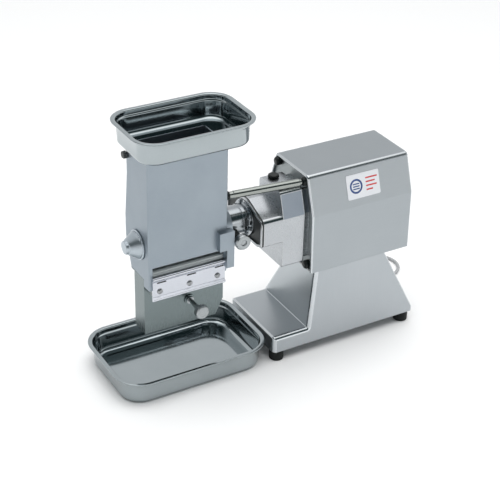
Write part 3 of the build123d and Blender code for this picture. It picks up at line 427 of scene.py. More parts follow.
def tray(name, size, middle, bottom, node, body, opening=None):
    """A deep-drawn tray with a beaded rim, a step below it, tapered walls and a pressed floor.

    The opening is the middle and half sizes of a hole through the floor.
    """
    length, width, h, corner = size

    def loop(gap, z):
        half_x, half_y = length / 2 - gap, width / 2 - gap
        r = max(corner - gap, 9.0)
        box = [(-half_x, -half_y), (half_x, -half_y), (half_x, half_y), (-half_x, half_y)]
        shape = rounded(box, r, 14)
        return [at(middle[0] + p.x, middle[1] + p.y, bottom + z) for p in shape]

    def arc(cx, cz, r, first, last, count):
        """Points of an arc in (gap, height); the angle is from the outward level."""
        points = []
        for k in range(count + 1):
            a = math.radians(first + (last - first) * k / count)
            points.append((cx - r * math.cos(a), cz + r * math.sin(a)))
        return points

    outside = arc(21.5, 10.0, 10.0, -90, 0, 7) + [(10.6, h - 13.5)]
    outside += [(9.9, h - 12.2), (9.2, h - 10.8), (8.9, h - 9.0), (8.6, h - 4.2)]
    outside += arc(6.6, h - 3.4, 2.0, 180, 90, 4) + [(4.2, h - 1.4)]
    bead = [(3.9, h - 2.6), (3.1, h - 3.5), (2.0, h - 3.85), (0.95, h - 3.5), (0.25, h - 2.6)]
    bead += [(0.0, h - 1.6), (0.35, h - 0.75), (1.1, h - 0.2), (2.2, h)]
    inside = [(5.4, h - 0.05)] + arc(6.4, h - 3.3, 3.2, 95, 180, 6) + [(9.9, h - 9.2)]
    inside += [(10.3, h - 10.9), (11.2, h - 12.3), (11.8, h - 14.0)]
    inside += [(12.2, 12.0)] + arc(22.4, 11.2, 10.0, 0, -90, 8)
    bm = bmesh.new()
    loops = [loop(g, z) for g, z in outside + bead + inside]
    if opening:
        cx, cy, ox, oy = opening
        hole = rounded([(-ox, -oy), (ox, -oy), (ox, oy), (-ox, oy)], 9, 14)
        upper = [at(cx + p.x, cy + p.y, bottom + 1.2) for p in hole]
        lower = [at(cx + p.x, cy + p.y, bottom) for p in hole]
        skin(bm, loops + [upper, lower], round_trip=True)
    else:
        floor = [loop(30, 1.2), loop(33, 1.6), loop(37, 1.9), loop(60, 1.9)]
        under = [loop(60, 0.0), loop(30, 0.0)]
        skin(bm, under + loops + floor)
    return piece(name, bm, TRAY_STEEL, body, [node], sharp=50, weighted=False)


tray(
    "lower_tray_pressed", (333.0, 226.0, 52.6, 58.0), (-251.0, 12.0), 0.0, "lower_tray", "collecting_tray"
)
tray(
    "upper_tray_pressed", (252.4, 170.0, 50.5, 48.0), (-239.5, 0.0), 499.6, "upper_tray", "feed_tray",
    (-252.6, -1.2, 79.9, 40.5),
)

# ---------------------------------------------------------------- motor hood

HOOD = [
    (-90.2, HOOD_BOTTOM), (90.2, HOOD_BOTTOM), (87.1, 319), (60.2, 398), (-60.2, 398), (-87.1, 319),
]
HOOD_R = [0.05, 0.05, 13, 10, 10, 13]
FRONT_EDGE, REAR_EDGE = 4.5, 5  # how far the front and rear edges are rounded
SLOT_HALF, SLOT_TALL, SLOT_PITCH = 24, 2.5, 11  # half sizes of a vent slot, and the rows' spacing


def hood_loop(x, gap):
    """The hood's section without its open underside, from the far lower edge over to the near one.

    Its lower ends stay at the hood's bottom, however far the section is moved in.
    """
    steps = 8
    shape = rounded(inset(HOOD, gap), [max(r - gap, 0.05) for r in HOOD_R], steps)
    points = shape[steps + 1:] + shape[:1]
    return [at(x, p.x, HOOD_BOTTOM if p.y < 200 else p.y) for p in points]


bm = bmesh.new()
stations = [(7.2, 5.6), (4.2, 5.6), (1.2, 5.6), (0.35, 5.2)]
stations += [(FRONT_EDGE * (1 - c), FRONT_EDGE * (1 - s)) for c, s in quarter(6)]
stations += [(60, 0), (120, 0), (180, 0)]
stations += [(HOOD_LENGTH - REAR_EDGE * (1 - s), REAR_EDGE * (1 - c)) for c, s in quarter(6)]
skin(bm, [hood_loop(x, gap) for x, gap in stations], closed=False, caps=(False, True))
sides = [(0, 0, 1), (0, -79, 26.9), (0, 79, 26.9), (0, -1, 0.024), (0, 1, 0.024), (1, 0, 0), (-1, 0, 0)]
# The hood's bends get the painted highlight.
paint_bend_highlights(bm, sides)
hood = piece("hood_sheet", bm, [HOOD_STEEL, BEND_HIGHLIGHT_STEEL], "machine", ["motor_hood"])
hood.modifiers.clear()
solid = hood.modifiers.new("sheet", "SOLIDIFY")
solid.thickness = HOOD_SHEET / 1000
solid.offset = -1
slots = bmesh.new()
for column in (-32, 32):
    for row in range(9):
        left, right = column - SLOT_HALF, column + SLOT_HALF
        low = 256 + row * SLOT_PITCH - SLOT_TALL
        high = low + 2 * SLOT_TALL
        outline = [(left, low), (right, low), (right, high), (left, high)]
        block(slots, outline, 2.4, along_x, HOOD_LENGTH - 10, HOOD_LENGTH + 5, 0.02, 4, 1)
cut(hood, slots, "vent_slots")
even = hood.modifiers.new("even_normals", "WEIGHTED_NORMAL")
even.keep_sharp = True

# ---------------------------------------------------------------- pedestal base

BASE = [
    (-81, 14.5), (265.5, 14.5), (265.5, 36), (182, 192), (11, 192), (0, TOE_TOP), (-81, TOE_TOP),
]
BASE_R = [0.05, 0.05, 4, 0.05, 0.05, 1.5, 5]
# How far the near and far edges are rounded, and each side's share of it.
ROUND = 9.5
SOFT = [1.0, 0.35, 0.35, 0.0, 1.0, 1.0, 1.0]
FOLD = 5  # the inner corner between toe and pedestal, whose radius grows with the inset
SKIRT_BOTTOM = 24.0
bm = bmesh.new()
loops = []
for y, way in ((-BASE_HALF, 1), (BASE_HALF, -1)):
    rows = []
    for c, s in quarter(8):
        gap, depth = ROUND * (1 - s), ROUND * (1 - c)
        radii = [max(r - gap, 0.05) for r in BASE_R]
        radii[FOLD] = BASE_R[FOLD] + gap
        shape = rounded(inset(BASE, [gap * soft for soft in SOFT]), radii, 8)
        rows.append([at(p.x, y + way * depth, max(p.y, SKIRT_BOTTOM)) for p in shape])
    loops += rows if way > 0 else rows[::-1]
skin(bm, loops)
bmesh.ops.remove_doubles(bm, verts=bm.verts[:], dist=2e-6)
bmesh.ops.dissolve_degenerate(bm, edges=bm.edges[:], dist=1e-6)
whole = bm.verts[:] + bm.edges[:] + bm.faces[:]
toe = TOE_TOP / 1000
bmesh.ops.bisect_plane(bm, geom=whole, plane_co=(0, 0, toe), plane_no=(0, 0, 1))
for vert in bm.verts:
    if vert.co.y > HUB_Y / 1000 and vert.co.z > toe:
        vert.co.y -= (vert.co.z - toe) * LEAN_RUN / LEAN_RISE
sides = [
    (0, 0, 1), (0, 0, -1), (-1, 0, 0), (-132, 0, 11), (156, 0, 83.5), (1, 0, 0), (0, -1, 0), (0, 1, 0),
    (0, LEAN_RISE, LEAN_RUN),
]
# The base's bends get the painted highlight.
paint_bend_highlights(bm, sides)
# Painted light: the pedestal's front above the toe gets the lighter copy of the base steel.
for face in bm.faces:
    if face.normal.x < -0.97 and face.calc_center_median().z > toe + 0.002:
        face.material_index = 2
base_metals = [BASE_STEEL, BEND_HIGHLIGHT_STEEL, FRONT_STEEL_LIT]
piece("base_sheet", bm, base_metals, "machine", ["base_shell"], sharp=40)

# Rubber feet, each with a screw well below.
bm = bmesh.new()
profile = [
    (3.4, 0), (3.4, 7), (0, 7), (0, 14.4), (1.2, 15.2), (23.7, 15.2), (23.7, 12.4), (25.2, 12.4),
    (25.2, 0),
]
for x in (-64.0, 249.0):
    for y in (-73.0, 73.0):
        lathe(bm, profile, at(x, y, 0), Z, 56, 0.7)
piece("rubber_feet_moulded", bm, RUBBER, "machine", ["rubber_feet"])

# ---------------------------------------------------------------- gear unit

# The case is a box, and its head carries the hub. The box's near slanted face is painted darker, as
# painted shade.
CASE = [(-72, 213), (25, 213), (25, 375), (-54.5, 375), (-72, 321)]
bm = bmesh.new()
block(bm, CASE, [5, 7, 9, 9, 13], along_x, -58, -6, 0.8, 6, 3, 4.5)
block(bm, inset(CASE, 6), [5, 5, 6, 6, 10], along_x, -8, 5.8, 0.5, 6, 2)
HEAD = [
    (-54, 265), (50, 265), (70, 281), (70, 319), (58, 331), (8, 350), (-8, 350), (-72.03, 326),
    (-72.03, 272),
]
HEAD_R = [5, 7, 7, 9, 9, 8, 8, 14, 4]
block(bm, HEAD, HEAD_R, along_x, -101.6, -20, 1.0, 8, 3, 0.02)
sides = [
    (1, 0, 0), (-1, 0, 0), (0, -1, 0), (0, 1, 0), (0, 0, 1), (0, 0, -1), (0, -54, 17.5), (0, -24, 64),
    (0, 24, 64), (0, 12, 12), (0, -7, -18), (0, 16, -20),
]
# The case's bends get the painted highlight.
paint_bend_highlights(bm, sides, 9)
# Painted shade: the near slanted face gets the darker copy of the case metal.
for face in bm.faces:
    if face.normal.y < -0.93 and face.normal.z > 0.27:
        face.material_index = 2
case_metals = [CASE_METAL, CASE_BEND_HIGHLIGHT, CASE_FLANK_SHADE]
piece("gear_case_casting", bm, case_metals, "machine", ["gear_case"])

# The front cover is a rim around a recess, which opens into the hub's bore; the recess is painted
# near-black as painted shade.
POCKET_GAP = 6


def cover_loop(x, gap):
    """The front cover's outline, moved in by gap."""
    shape = rounded(inset(HEAD, gap), [max(r - gap, 0.3) for r in HEAD_R], 8)
    return [at(x, p.x, p.y) for p in shape]


def pocket_loop(x, least, extra=0.0):
    """The recess in the cover: the outline moved in, but at least that far from the hub's axis."""
    points = []
    for p in rounded(inset(HEAD, POCKET_GAP - extra), 2, 8):
        arm = Vector((p.x, p.y - HUB_Z))
        arm *= max(1.0, least / arm.length)
        points.append(at(x, arm.x, HUB_Z + arm.y))
    return points


def bore_loop(x, radius):
    """The cover's round bore for the hub, with the recess's count of points."""
    arms = [Vector((p.x, p.y - HUB_Z)) for p in rounded(inset(HEAD, POCKET_GAP), 2, 8)]
    return [at(x, arm.x * radius / arm.length, HUB_Z + arm.y * radius / arm.length) for arm in arms]


bm = bmesh.new()
loops = [cover_loop(-102.0, 0.6), cover_loop(-102.6, 0), cover_loop(-105.6, 0), cover_loop(-106.3, 0.3)]
loops += [cover_loop(-106.8, 1.0), pocket_loop(-106.8, 39.5, 0.9), pocket_loop(-106.5, 38.9, 0.3)]
loops += [pocket_loop(-105.9, 38.6), pocket_loop(-103.2, 38.6), bore_loop(-103.2, 38.0)]
loops += [bore_loop(-102.2, 38.0)]
skin(bm, loops, round_trip=True)
# The cover's bends get the painted highlight.
paint_bend_highlights(bm, [(-1, 0, 0), (1, 0, 0)], 20)
# Painted shade: the faces inside the recess get the near-black steel.
for face in bm.faces:
    if face.calc_center_median().x > (FRONT_X - 104.5) / 1000:
        face.material_index = 2
cover_metals = [CASE_METAL, CASE_BEND_HIGHLIGHT, DARK_STEEL_AND_SHADE]
piece("front_cover_ring", bm, cover_metals, "machine", ["gear_front_cover"])

# The drive hub has a groove round its middle.
hub = at(0, 0, HUB_Z)
bm = bmesh.new()
profile = [
    (-102.3, 15), (-102.3, 37.5), (-107.1, 37.5), (-107.2, 31.4), (-109.5, 29.4), (-121, 29.4),
    (-121.8, 28.4), (-123.4, 28.4), (-124.2, 29.4), (-147.6, 29.4), (-149.9, 27.6), (-149.9, 26.2),
    (-114, 26.2), (-114, 15),
]
lathe(bm, profile, hub, X, 96, 0.6, 3, True)
piece("drive_hub_turned", bm, HUB_STEEL, "machine", ["drive_hub"])

# The lock knob's socket stands on the hub's near side.
lock = at(*LOCK)
bm = bmesh.new()
lathe(bm, [(12, 8.6), (45.6, 8.9), (47, 7.6), (47, 5.2), (12, 5.2)], lock, -Y, 48, 0.5, 3, True)
piece("hub_lock_socket", bm, DARK_STEEL_AND_SHADE, "machine", ())

# The hub's bolts have a round socket in the head.
bm = bmesh.new()
profile = [(107.2, 0), (107.2, 3.3), (110.6, 3.3), (111.3, 2.7), (111.3, 1.7), (109.2, 1.7), (109.2, 0)]
for k in range(8):
    a = math.radians(22.5 + 45 * k)
    place = at(0, BOLT_CIRCLE * math.cos(a), HUB_Z + BOLT_CIRCLE * math.sin(a))
    lathe(bm, profile, place, -X, 28, 0.2, 2)
piece("hub_socket_bolts", bm, BRIGHT, "machine", ["hub_bolts"])

# The oil plug has a ribbed head.
bm = bmesh.new()
profile = [(366, 0), (366, 6.9), (375.1, 6.9), (375.1, 10.4), (381.2, 10.4), (382.1, 8.6), (382.1, 0)]
lathe(bm, profile, at(*OIL_PLUG), Z, 56, 0.9, 4)
knurl(bm, at(*OIL_PLUG), Z, 375.5, 381.0, 11.2, 18, 0.9)
piece("oil_plug_ribbed", bm, BLACK_PLASTIC, "filler_plug", ["oil_plug"])

# Four knobs hold the mounting plate in the hood's open front.
bm = bmesh.new()
profile = [(-5.8, 0), (-5.8, 8.2), (-4.4, 9.1), (3.0, 9.1), (5.8, 7.4), (7.0, 4.6), (7.0, 0)]
for y, z in ((-50.5, 383), (50.5, 383), (-72, 205.5), (72, 205.5)):
    lathe(bm, profile, at(0, y, z), -X, 48, 1.0, 4)
piece("plate_knobs_moulded", bm, BLACK_PLASTIC, "machine", ["plate_knobs"])

# The stay rod runs from the upper near knob to the chute, and ends in a black tip.
rod_start, rod_end = at(-8.8, -50.5, 383.5), at(-160.5, -34.5, 384)
rod_way = (rod_end - rod_start).normalized()
rod_long = (rod_end - rod_start).length * 1000
bm = bmesh.new()
profile = [
    (0, 0), (0, 6.2), (4, 6.6), (5, 7.95), (rod_long - 9, 7.95), (rod_long - 8, 7.2), (rod_long, 7.2),
    (rod_long, 0),
]
lathe(bm, profile, rod_start, rod_way, 56, 0.5, 3)
piece("stay_rod_turned", bm, ROD_STEEL, "machine", ["stay_rod"])
bm = bmesh.new()
lathe(bm, [(-0.2, 0), (-0.2, 8.6), (5.9, 8.3), (5.9, 0)], rod_end, rod_way, 48, 1.3, 4)
piece("stay_tip_moulded", bm, BLACK_PLASTIC, "machine", ["stay_tip"])

# ---------------------------------------------------------------- attachment fittings

# The bearing cap: a flange, a cone and a blunt nose.
bm = bmesh.new()
profile = [
    (337.4, 12.4), (337.4, 30.3), (340.4, 30.3), (340.9, 27.6), (343.0, 27.2), (346, 25.4), (360.4, 16.0),
    (361.2, 14.2), (366.6, 13.0), (367.0, 9.5), (367.0, 0.2), (357.2, 0.2), (357.2, 12.4),
]
lathe(bm, profile, hub, -X, 80, 0.9, 4, True)
piece("bearing_cap_turned", bm, CAP_METAL, "attachment", ["bearing_cap"])

# The comb bar: a grooved bar with 15 teeth that reach up between the blades.
bm = bmesh.new()
bar = [
    (-43.8, 208), (-24.2, 208), (-24.2, 265.8), (-41.2, 265.8), (-43.7, 262.6), (-43.7, 259.6),
    (-43.0, 259.1), (-43.0, 258.5), (-43.7, 258.0), (-43.7, 249), (-43.8, 249),
]
block(bm, bar, [0.5, 0.5, 0.8, 2.2, 1.6, 0.3, 0.1, 0.1, 0.3, 0.5, 0.5], along_x, -328.7, -176.5, 0.4, 4, 2)
tooth = [(-30, 250), (-24.4, 250), (-12.1, 290), (-12.1, 305.9), (-17.9, 305.9), (-25.9, 290)]
for k in range(15):
    x = -312.4 + 8 * k
    block(bm, tooth, 0.6, along_x, x, x + 3, 0.2, 3, 1)
piece("comb_bar_milled", bm, PLATE_METAL, "attachment", ["comb_bar"])

# The scraper strip: a bent foot, a flat face with three screws and three slots painted as thin dark plates
# of shade, and a rolled upper lip.
STRIP_X = (-316.0, -252.0, -191.0)
LIP_Y, LIP_Z, LIP_R = -47.4, 249.6, 4.2
bm = bmesh.new()
profile = [
    (-44.7, 200.2), (-48, 200.2), (-51.6, 203.0), (-51.6, 206.2), (-46.9, 209.8), (-46.9, 210.6),
    (-48.1, 211.2), (-48.1, 242.6), (-46.6, 243.2), (-46.6, 244.6),
]
for k in range(9):
    angle = math.radians(248 - 18.5 * k)
    profile.append((LIP_Y + LIP_R * math.cos(angle), LIP_Z + LIP_R * math.sin(angle)))
profile.append((-44.7, 252.6))
soft = [0.5, 0.9, 0.9, 0.9, 0.2, 0.2, 0.5, 0.4, 0.1, 0.1] + [1.0] * 9 + [0.3]
block(bm, profile, soft, along_x, -331, -174, 0.5, 3, 2)
piece("scraper_strip_bent", bm, STRIP_STEEL, "attachment", ["scraper_strip"])
# The slots are not cut: thin near-black plates on the face are painted shade.
bm = bmesh.new()
for x in STRIP_X:
    outline = [(x - 6, 238.9), (x + 14, 238.9), (x + 14, 241.9), (x - 6, 241.9)]
    block(bm, outline, 1.2, along_y, -48.25, -47.5, 0.05, 4, 1)
piece("strip_slots_painted_shade", bm, DARK_STEEL_AND_SHADE, "attachment", ())
bm = bmesh.new()
profile = [
    (33, 0), (33, 2.4), (48.2, 2.4), (48.2, 5.9), (49.4, 5.7), (51.1, 3.6), (51.3, 1.6), (50.2, 1.5),
    (50.2, 0),
]
for x in STRIP_X:
    lathe(bm, profile, at(x, 0, 221), -Y, 40, 0.4, 3)
piece("strip_screws_domed", bm, PLAIN_STEEL, "attachment", ["strip_screws"])

# The duct's thumbscrew flares to a knurled head.
bm = bmesh.new()
screw = at(-239.5, 0, 166)
stem = [
    (16.2, 0), (16.2, 2.6), (17, 2.95), (30, 2.95), (31, 4.4), (52, 5.2), (62, 7.8), (68.6, 9.6),
    (68.6, 0),
]
lathe(bm, stem, screw, -Y, 40, 0.8)
lathe(bm, [(26.1, 3), (26.1, 7.9), (28.4, 7.9), (28.4, 3)], screw, -Y, 40, 0.5, 3, True)
profile = [
    (68.1, 0), (68.1, 12.6), (69.2, 13.6), (78.8, 13.6), (79.9, 12.2), (79.5, 9.0), (78.6, 7.6),
    (78.6, 0),
]
lathe(bm, profile, screw, -Y, 64, 0.7, 3)
knurl(bm, screw, -Y, 68.8, 79.2, 14.4, 26, 1.1)
piece("duct_thumbscrew_turned", bm, SATIN, "duct_screw", ["duct_thumbscrew"])

# The lock knob is a dished disc on a short stem.
bm = bmesh.new()
profile = [
    (27.1, 0), (27.1, 4.9), (50, 4.9), (50, 12.5), (51.4, 16.0), (53, 16.4), (60.2, 16.4), (63.2, 14.6),
    (64, 11.6), (64, 6.4), (61, 5.4), (61, 0),
]
lathe(bm, profile, lock, -Y, 64, 1.0, 4)
piece("lock_knob_turned", bm, SATIN, "lock_knob", ["hub_lock_knob"])

# The tray clip is a small block on the chute's outer edge.
bm = bmesh.new()
outline = [(35, 473), (45, 472), (48, 475), (48, 482), (45, 485), (35, 484)]
block(bm, outline, 1.5, along_x, -337.5, -345.8, 0.9, 3, 2)
piece("tray_clip_bent", bm, DARK_STEEL_AND_SHADE, "attachment", ["tray_clip"])

# ---------------------------------------------------------------- label, switch

# The rating plate lies on the hood's near slanted face, between two of its corners.
label_low, label_high = (Vector((0, *HOOD[i])) for i in (5, 4))
up_slope = (label_high - label_low).normalized()
out = Vector((0, -up_slope.z, up_slope.y))
label_middle = label_low + up_slope * ((LABEL_Z - label_low.z) / up_slope.z) + X * LABEL_X


def on_label(d, u, v):
    """A place d above the plate's back, u along it and v up it from its middle."""
    p = label_middle + out * d + X * u + up_slope * v
    return at(p.x, p.y, p.z)


def plate(bm, x0, z0, x1, z1, r, low, high, edge=0.12):
    """A thin rounded plate on the label's face."""
    block(bm, [(x0, z0), (x1, z0), (x1, z1), (x0, z1)], r, on_label, low, high, edge, 5, 2)


bm = bmesh.new()
plate(bm, -38.9, -24.9, 38.9, 24.9, 3, 0.06, 0.7)
piece("rating_plate_foil", bm, FOIL, "machine", ["rating_plate"])
bm = bmesh.new()
outer, inner = circle(-17, 0, 15, 40), circle(-17, 0, 11, 40)
ring = ((outer, INK_LOW), (outer, INK_HIGH), (inner, INK_HIGH), (inner, INK_LOW))
skin(bm, [[on_label(d, *p) for p in shape] for shape, d in ring], round_trip=True)
for k in range(3):
    plate(bm, -25, -6.5 + 5 * k, -9, -4.0 + 5 * k, 1.1, INK_LOW, INK_HIGH, 0.05)
piece("rating_plate_emblem", bm, BLUE_INK, "machine", ())
bm = bmesh.new()
for row, wide in enumerate((28, 22, 26, 16)):
    plate(bm, 6, 11 - 8 * row, 6 + wide, 14 - 8 * row, 0.9, INK_LOW, INK_HIGH, 0.05)
piece("rating_plate_lines", bm, RED_INK, "machine", ())

# The switch plate lies on the pedestal's far leaning wall.
lean = math.atan2(LEAN_RISE, LEAN_RUN)
switch_out = Vector((0, math.sin(lean), math.cos(lean)))
switch_right = Vector((-1, 0, 0))
switch_up = switch_out.cross(switch_right)
switch_y = BASE_HALF - (SWITCH_Z - TOE_TOP) * LEAN_RUN / LEAN_RISE
switch_middle = Vector((SWITCH_X, switch_y, SWITCH_Z))


def on_switch(d, u, v):
    """A place d out from the wall, u along it and v up it from the plate's middle."""
    p = switch_middle + switch_out * d + switch_right * u + switch_up * v
    return at(p.x, p.y, p.z)


bm = bmesh.new()
outer = [(-42, -22), (42, -22), (42, 22), (-42, 22)]
block(bm, outer, 8, on_switch, 0.15, 4.0, 1.0, 6, 3)
switch_plate = piece(
    "switch_plate_moulded", bm, BLACK_PLASTIC, "machine", ["switch_housing"]
)
rings, holes = bmesh.new(), bmesh.new()
profile = [(2, 11.1), (5.1, 11.1), (5.1, 13.4), (4.2, 14.4), (2, 14.4)]
well = [(-1, 0), (-1, BUTTON_WELL), (6, BUTTON_WELL), (6, 0)]
for u in (-BUTTON_U, BUTTON_U):
    place = on_switch(0, u, 0)
    lathe(rings, profile, place, switch_out, 48, 0.4, 2, True)
    lathe(holes, well, place, switch_out, 48, 0)
cut(switch_plate, holes, "button_holes")
piece("switch_rings_moulded", rings, BLACK_PLASTIC, "machine", ())
buttons = (
    ("start", -BUTTON_U, 6, GREEN, "green_plastic"),
    ("stop", BUTTON_U, 8, RED, "red_plastic"),
)
for body, u, high, material, slot in buttons:
    bm = bmesh.new()
    profile = [
        (-5, 0), (-5, 10.6), (high - 0.4, 10.6), (high, 9.6), (high - 0.9, 5), (high - 1.1, 0),
    ]
    lathe(bm, profile, on_switch(0, u, 0), switch_out, 48, 0.8, 4)
    piece(body + "_button_cap", bm, material, body, [body + "_button"])

# ---------------------------------------------------------------- mains lead

# The gland: a hexagon between a neck and a sleeve, then the ribbed, tapering strain relief.
bm = bmesh.new()
gland = at(GLAND_X, GLAND_Y, 0)
lathe(bm, [(174, 5.2), (174, 9.2), (186.4, 9.4), (186.4, 5.2)], gland, Z, 48, 0.9, 3, True)
lathe(bm, [(192, 5.2), (192, 7.9), (199, 7.9), (199, 5.2)], gland, Z, 40, 0.4, 2, True)
block(bm, circle(GLAND_X, GLAND_Y, 11.9, 6), 0.8, along_z, 186.2, 191.9, 0.6, 3, 2)
for k in range(5):
    high, low = 174.4 - 4.6 * k, 170.6 - 4.6 * k
    r = 7.3 - 0.42 * k
    lathe(bm, [(low, 3.55), (low, r - 0.3), (high, r), (high, 3.55)], gland, Z, 36, 0.5, 2, True)
lathe(bm, [(150.1, 3.55), (150.1, 4.6), (174, 5.6), (174, 3.55)], gland, Z, 36, 0.3, 2, True)
piece("cable_gland_moulded", bm, BLACK_PLASTIC, "machine", ["cable_gland"])

# The lead's route goes down from the gland to the table, then into the coil.
CORD_D = 7.0
FLOOR = CORD_D / 2 + 0.1
lead = [
    (GLAND_X, GLAND_Y, 149.9), (GLAND_X, GLAND_Y, 128), (236, 51.5, 104.5), (252, 54, 78), (268, 57, 55),
    (286, 61, 33), (307, 67, 15), (329, 74, FLOOR), (350, 81.5, FLOOR), (366.5, 96, FLOOR),
    (374, 116.7, FLOOR), (371, 138.5, FLOOR), (359, 157, FLOOR), (342, 171.5, FLOOR), (325, 182.5, FLOOR),
]
COIL_X, COIL_Y, COIL_R = 285.0, 146.0, (49.0, 42.0, 35.0)
LAYER = 7.15
# The coil's first angle, its length in degrees, and how long before its end it climbs to the plug.
COIL_FROM = 62.0
COIL_TURNED = 4 * 360 + 90 - COIL_FROM
CLIMB = 62
COIL_STEP = 15.0


def smooth(t):
    """An eased step from 0 to 1."""
    t = max(0.0, min(1.0, t))
    return t * t * (3 - 2 * t)


def coil_point(turned):
    """Radius and height of the coil's centreline after that many degrees."""
    turn, angle = divmod(turned, 360.0)
    turn = int(turn)
    if turn < 2:
        return COIL_R[turn] + (COIL_R[turn + 1] - COIL_R[turn]) * smooth((angle - 320) / 40), FLOOR
    if turn < 3:
        return COIL_R[2], FLOOR + LAYER * smooth((angle - 235) / 65)
    return COIL_R[2] + (COIL_R[1] - COIL_R[2]) * smooth(angle / 40), FLOOR + LAYER


points = list(lead)
count = int(COIL_TURNED // COIL_STEP)
for k in range(count + 1):
    turned = COIL_TURNED * k / count
    r, z = coil_point(turned)
    climbed = turned - (COIL_TURNED - CLIMB)
    if climbed > 0:
        r = COIL_R[1]
        z += (PLUG_Z - FLOOR - LAYER) * smooth(climbed / 50)
    a = math.radians(COIL_FROM + turned)
    points.append((COIL_X + r * math.cos(a), COIL_Y + r * math.sin(a), z))
points += [(x, PLUG_Y, PLUG_Z) for x in (271, 258.2)]
curve = bpy.data.curves.new("cord_line", "CURVE")
curve.dimensions = "3D"
spline = curve.splines.new("NURBS")
spline.points.add(len(points) - 1)
for p, target in zip(points, spline.points):
    target.co = (*at(*p), 1.0)
spline.order_u = 3
spline.use_endpoint_u = True
curve.resolution_u = 4
curve.bevel_depth = CORD_D / 2000
curve.bevel_resolution = 6
curve.use_fill_caps = True
cord = bpy.data.objects.new("mains_cord", curve)
bpy.context.scene.collection.objects.link(cord)
curve.materials.append(CORD_SHEATH)
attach(cord, "machine")
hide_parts("cord_lead", "cord_coil")

# The plug: ribs over the cord, a tapered neck, a body with a recessed face, and two pins.
bm = bmesh.new()
plug = at(0, PLUG_Y, PLUG_Z)
for k in range(4):
    low, high = 257.6 - 4.2 * k, 254.4 - 4.2 * k
    r = 4.6 + 0.75 * k
    lathe(bm, [(low, 3.4), (low, r), (high, r + 0.5), (high, 3.4)], plug, X, 36, 0.5, 2, True)
profile = [
    (241, 0), (241, 8.2), (239.6, 12.4), (236, 13.4), (222, 15.6), (215, 17.8), (203, 17.8), (202.2, 16.6),
    (202.2, 13.6), (204.6, 13.0), (204.6, 0),
]
lathe(bm, [(258, 0), (258, 3.9), (241, 6.2), (241, 0)], plug, X, 36, 0.3, 2)
lathe(bm, profile, plug, X, 64, 1.0, 4)
piece("plug_body", bm, GREY_PLASTIC, "machine", ["cord_plug"])
bm = bmesh.new()
profile = [(204.0, 0), (204.0, 2.4), (184.5, 2.4), (183.1, 1.4), (183.1, 0)]
for side in (-9.5, 9.5):
    lathe(bm, profile, at(0, PLUG_Y, PLUG_Z + side), X, 28, 0.5, 3)
piece("plug_pins", bm, BRIGHT, "machine", ())

# ---------------------------------------------------------------- carried-over CAD nodes

kept = {
    "base_bottom_plate": BASE_STEEL, "foot_screws": PLAIN_STEEL, "motor_deck": PLAIN_STEEL,
    "deck_bolts": PLAIN_STEEL, "mounting_plate": PLATE_METAL, "motor_pinion": PLAIN_STEEL,
    "countershaft_gear": PLAIN_STEEL, "countershaft_pinion": PLAIN_STEEL, "output_gear": PLAIN_STEEL,
    "countershaft": PLAIN_STEEL, "gearbox_bearings": BRIGHT, "shaft_seals": RUBBER,
    "output_shaft": PLAIN_STEEL, "motor_stator": DARK_STEEL_AND_SHADE, "stator_windings": COPPER,
    "motor_end_shields": CASE_METAL, "motor_bearings": BRIGHT, "rotor_shaft": PLAIN_STEEL,
    "rotor_core": DARK_STEEL_AND_SHADE, "cooling_fan": BLACK_PLASTIC, "run_capacitor": GREY_PLASTIC,
    "chute_body": CHUTE_METAL, "roller_bushes": BRONZE, "driven_blade_roller": PLAIN_STEEL,
    "idle_blade_roller": PLAIN_STEEL, "driven_roller_gear": PLAIN_STEEL, "idle_roller_gear": PLAIN_STEEL,
    "idle_roller_shaft": PLAIN_STEEL, "driven_roller_shaft": PLAIN_STEEL,
    "discharge_duct": DUCT_STEEL_SHADE,
}
for node, material in kept.items():
    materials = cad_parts[node].data.materials
    if materials:
        for i in range(len(materials)):
            materials[i] = material
    else:
        materials.append(material)

# ---------------------------------------------------------------- studio


def card(name, middle, size, target, strength):
    """A soft rectangular light that faces its target."""
    light = bpy.data.lights.new(name, "AREA")
    light.shape = "RECTANGLE"
    light.size, light.size_y = size
    light.energy = strength
    obj = bpy.data.objects.new(name, light)
    obj.location = middle
    obj.rotation_euler = (Vector(target) - Vector(middle)).to_track_quat("-Z", "Y").to_euler()
    bpy.context.scene.collection.objects.link(obj)
    return obj


bm = bmesh.new()
bmesh.ops.create_grid(bm, x_segments=1, y_segments=1, size=6.0)
floor = mesh_object("floor", bm)
floor.location = (0, 0, -0.0002)
material, tree, shader, coords = nodes_of("studio_floor")
shader.inputs["Base Color"].default_value = (0.92, 0.92, 0.92, 1)
shader.inputs["Roughness"].default_value = 0.9
shader.inputs["Specular IOR Level"].default_value = 0.1
floor.data.materials.append(material)

world = bpy.data.worlds.new("studio")
world.use_nodes = True
bpy.context.scene.world = world
tree = world.node_tree
background = tree.nodes["Background"]
coords = tree.nodes.new("ShaderNodeTexCoord")
split = tree.nodes.new("ShaderNodeSeparateXYZ")
tree.links.new(coords.outputs["Generated"], split.inputs["Vector"])


def towards(direction):
    """How far a ray points in that direction, from -1 to 1."""
    dot = tree.nodes.new("ShaderNodeVectorMath")
    dot.operation = "DOT_PRODUCT"
    dot.inputs[1].default_value = direction
    tree.links.new(coords.outputs["Generated"], dot.inputs[0])
    return dot.outputs["Value"]


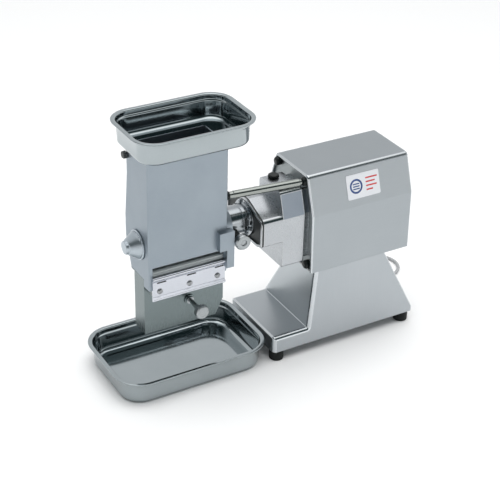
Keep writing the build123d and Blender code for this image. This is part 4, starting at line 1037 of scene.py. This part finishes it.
def blend(value, low, high, first, second):
    """Mixes two colours as value goes from low to high."""
    factor = tree.nodes.new("ShaderNodeMapRange")
    factor.interpolation_type = "SMOOTHSTEP"
    factor.inputs["From Min"].default_value = low
    factor.inputs["From Max"].default_value = high
    tree.links.new(value, factor.inputs["Value"])
    mix = tree.nodes.new("ShaderNodeMix")
    mix.data_type = "RGBA"
    mix.clamp_result = False
    tree.links.new(factor.outputs["Result"], mix.inputs["Factor"])
    for socket, colour in (("A_Color", first), ("B_Color", second)):
        target = next(s for s in mix.inputs if s.identifier == socket)
        if isinstance(colour, tuple):
            target.default_value = (*colour, 1)
        else:
            tree.links.new(colour, target)
    return next(s for s in mix.outputs if s.identifier == "Result_Color")


# Dark behind the camera, bright on the far side and overhead, and bright low down all round.
far_side, near_side = (0.51, 0.86, 0.0), (0.44, -0.90, 0.0)
sides = blend(towards(far_side), -0.30, 0.45, (0.030, 0.052, 0.055), (0.82, 0.83, 0.84))
raised = blend(split.outputs["Z"], 0.72, 0.97, sides, (1.9, 1.9, 1.9))
low = blend(towards(near_side), 0.45, 0.95, (0.90, 0.90, 0.90), (1.40, 1.40, 1.40))
room = blend(split.outputs["Z"], 0.12, 0.38, low, raised)
paths = tree.nodes.new("ShaderNodeLightPath")
seen = blend(paths.outputs["Is Camera Ray"], 0.0, 1.0, room, (1.0, 1.0, 1.0))
tree.links.new(seen, background.inputs["Color"])
background.inputs["Strength"].default_value = 1.0

overhead = card("overhead", (-0.1, -0.3, 2.6), (3.0, 3.0), (0.0, 0.0, 0.0), 42)
overhead.visible_glossy = False  # it lights the floor without showing in the metal

scene = bpy.context.scene
scene.view_settings.view_transform = "Standard"
scene.view_settings.look = "None"

# A long lens, about 2.6 m off, that looks down on the near side and the attachment.
yaw, pitch, roll = math.radians(30.59), math.radians(30.59), math.radians(1.47)
forward = Vector((math.sin(yaw) * math.cos(pitch), math.cos(yaw) * math.cos(pitch), -math.sin(pitch)))
right = Vector((math.cos(yaw), -math.sin(yaw), 0))
above = right.cross(forward)
right_rolled = right * math.cos(roll) + above * math.sin(roll)
above_rolled = above * math.cos(roll) - right * math.sin(roll)
camera_data = bpy.data.cameras.new("camera")
camera_data.lens = 94.07
camera_data.sensor_width = 36.0
camera_data.clip_end = 30.0
camera = bpy.data.objects.new("camera", camera_data)
turn = Matrix((right_rolled, above_rolled, -forward)).transposed().to_4x4()
camera.matrix_world = Matrix.Translation((-1.1664, -1.9614, 1.5642)) @ turn
scene.collection.objects.link(camera)
scene.camera = camera

bpy.context.view_layer.update()
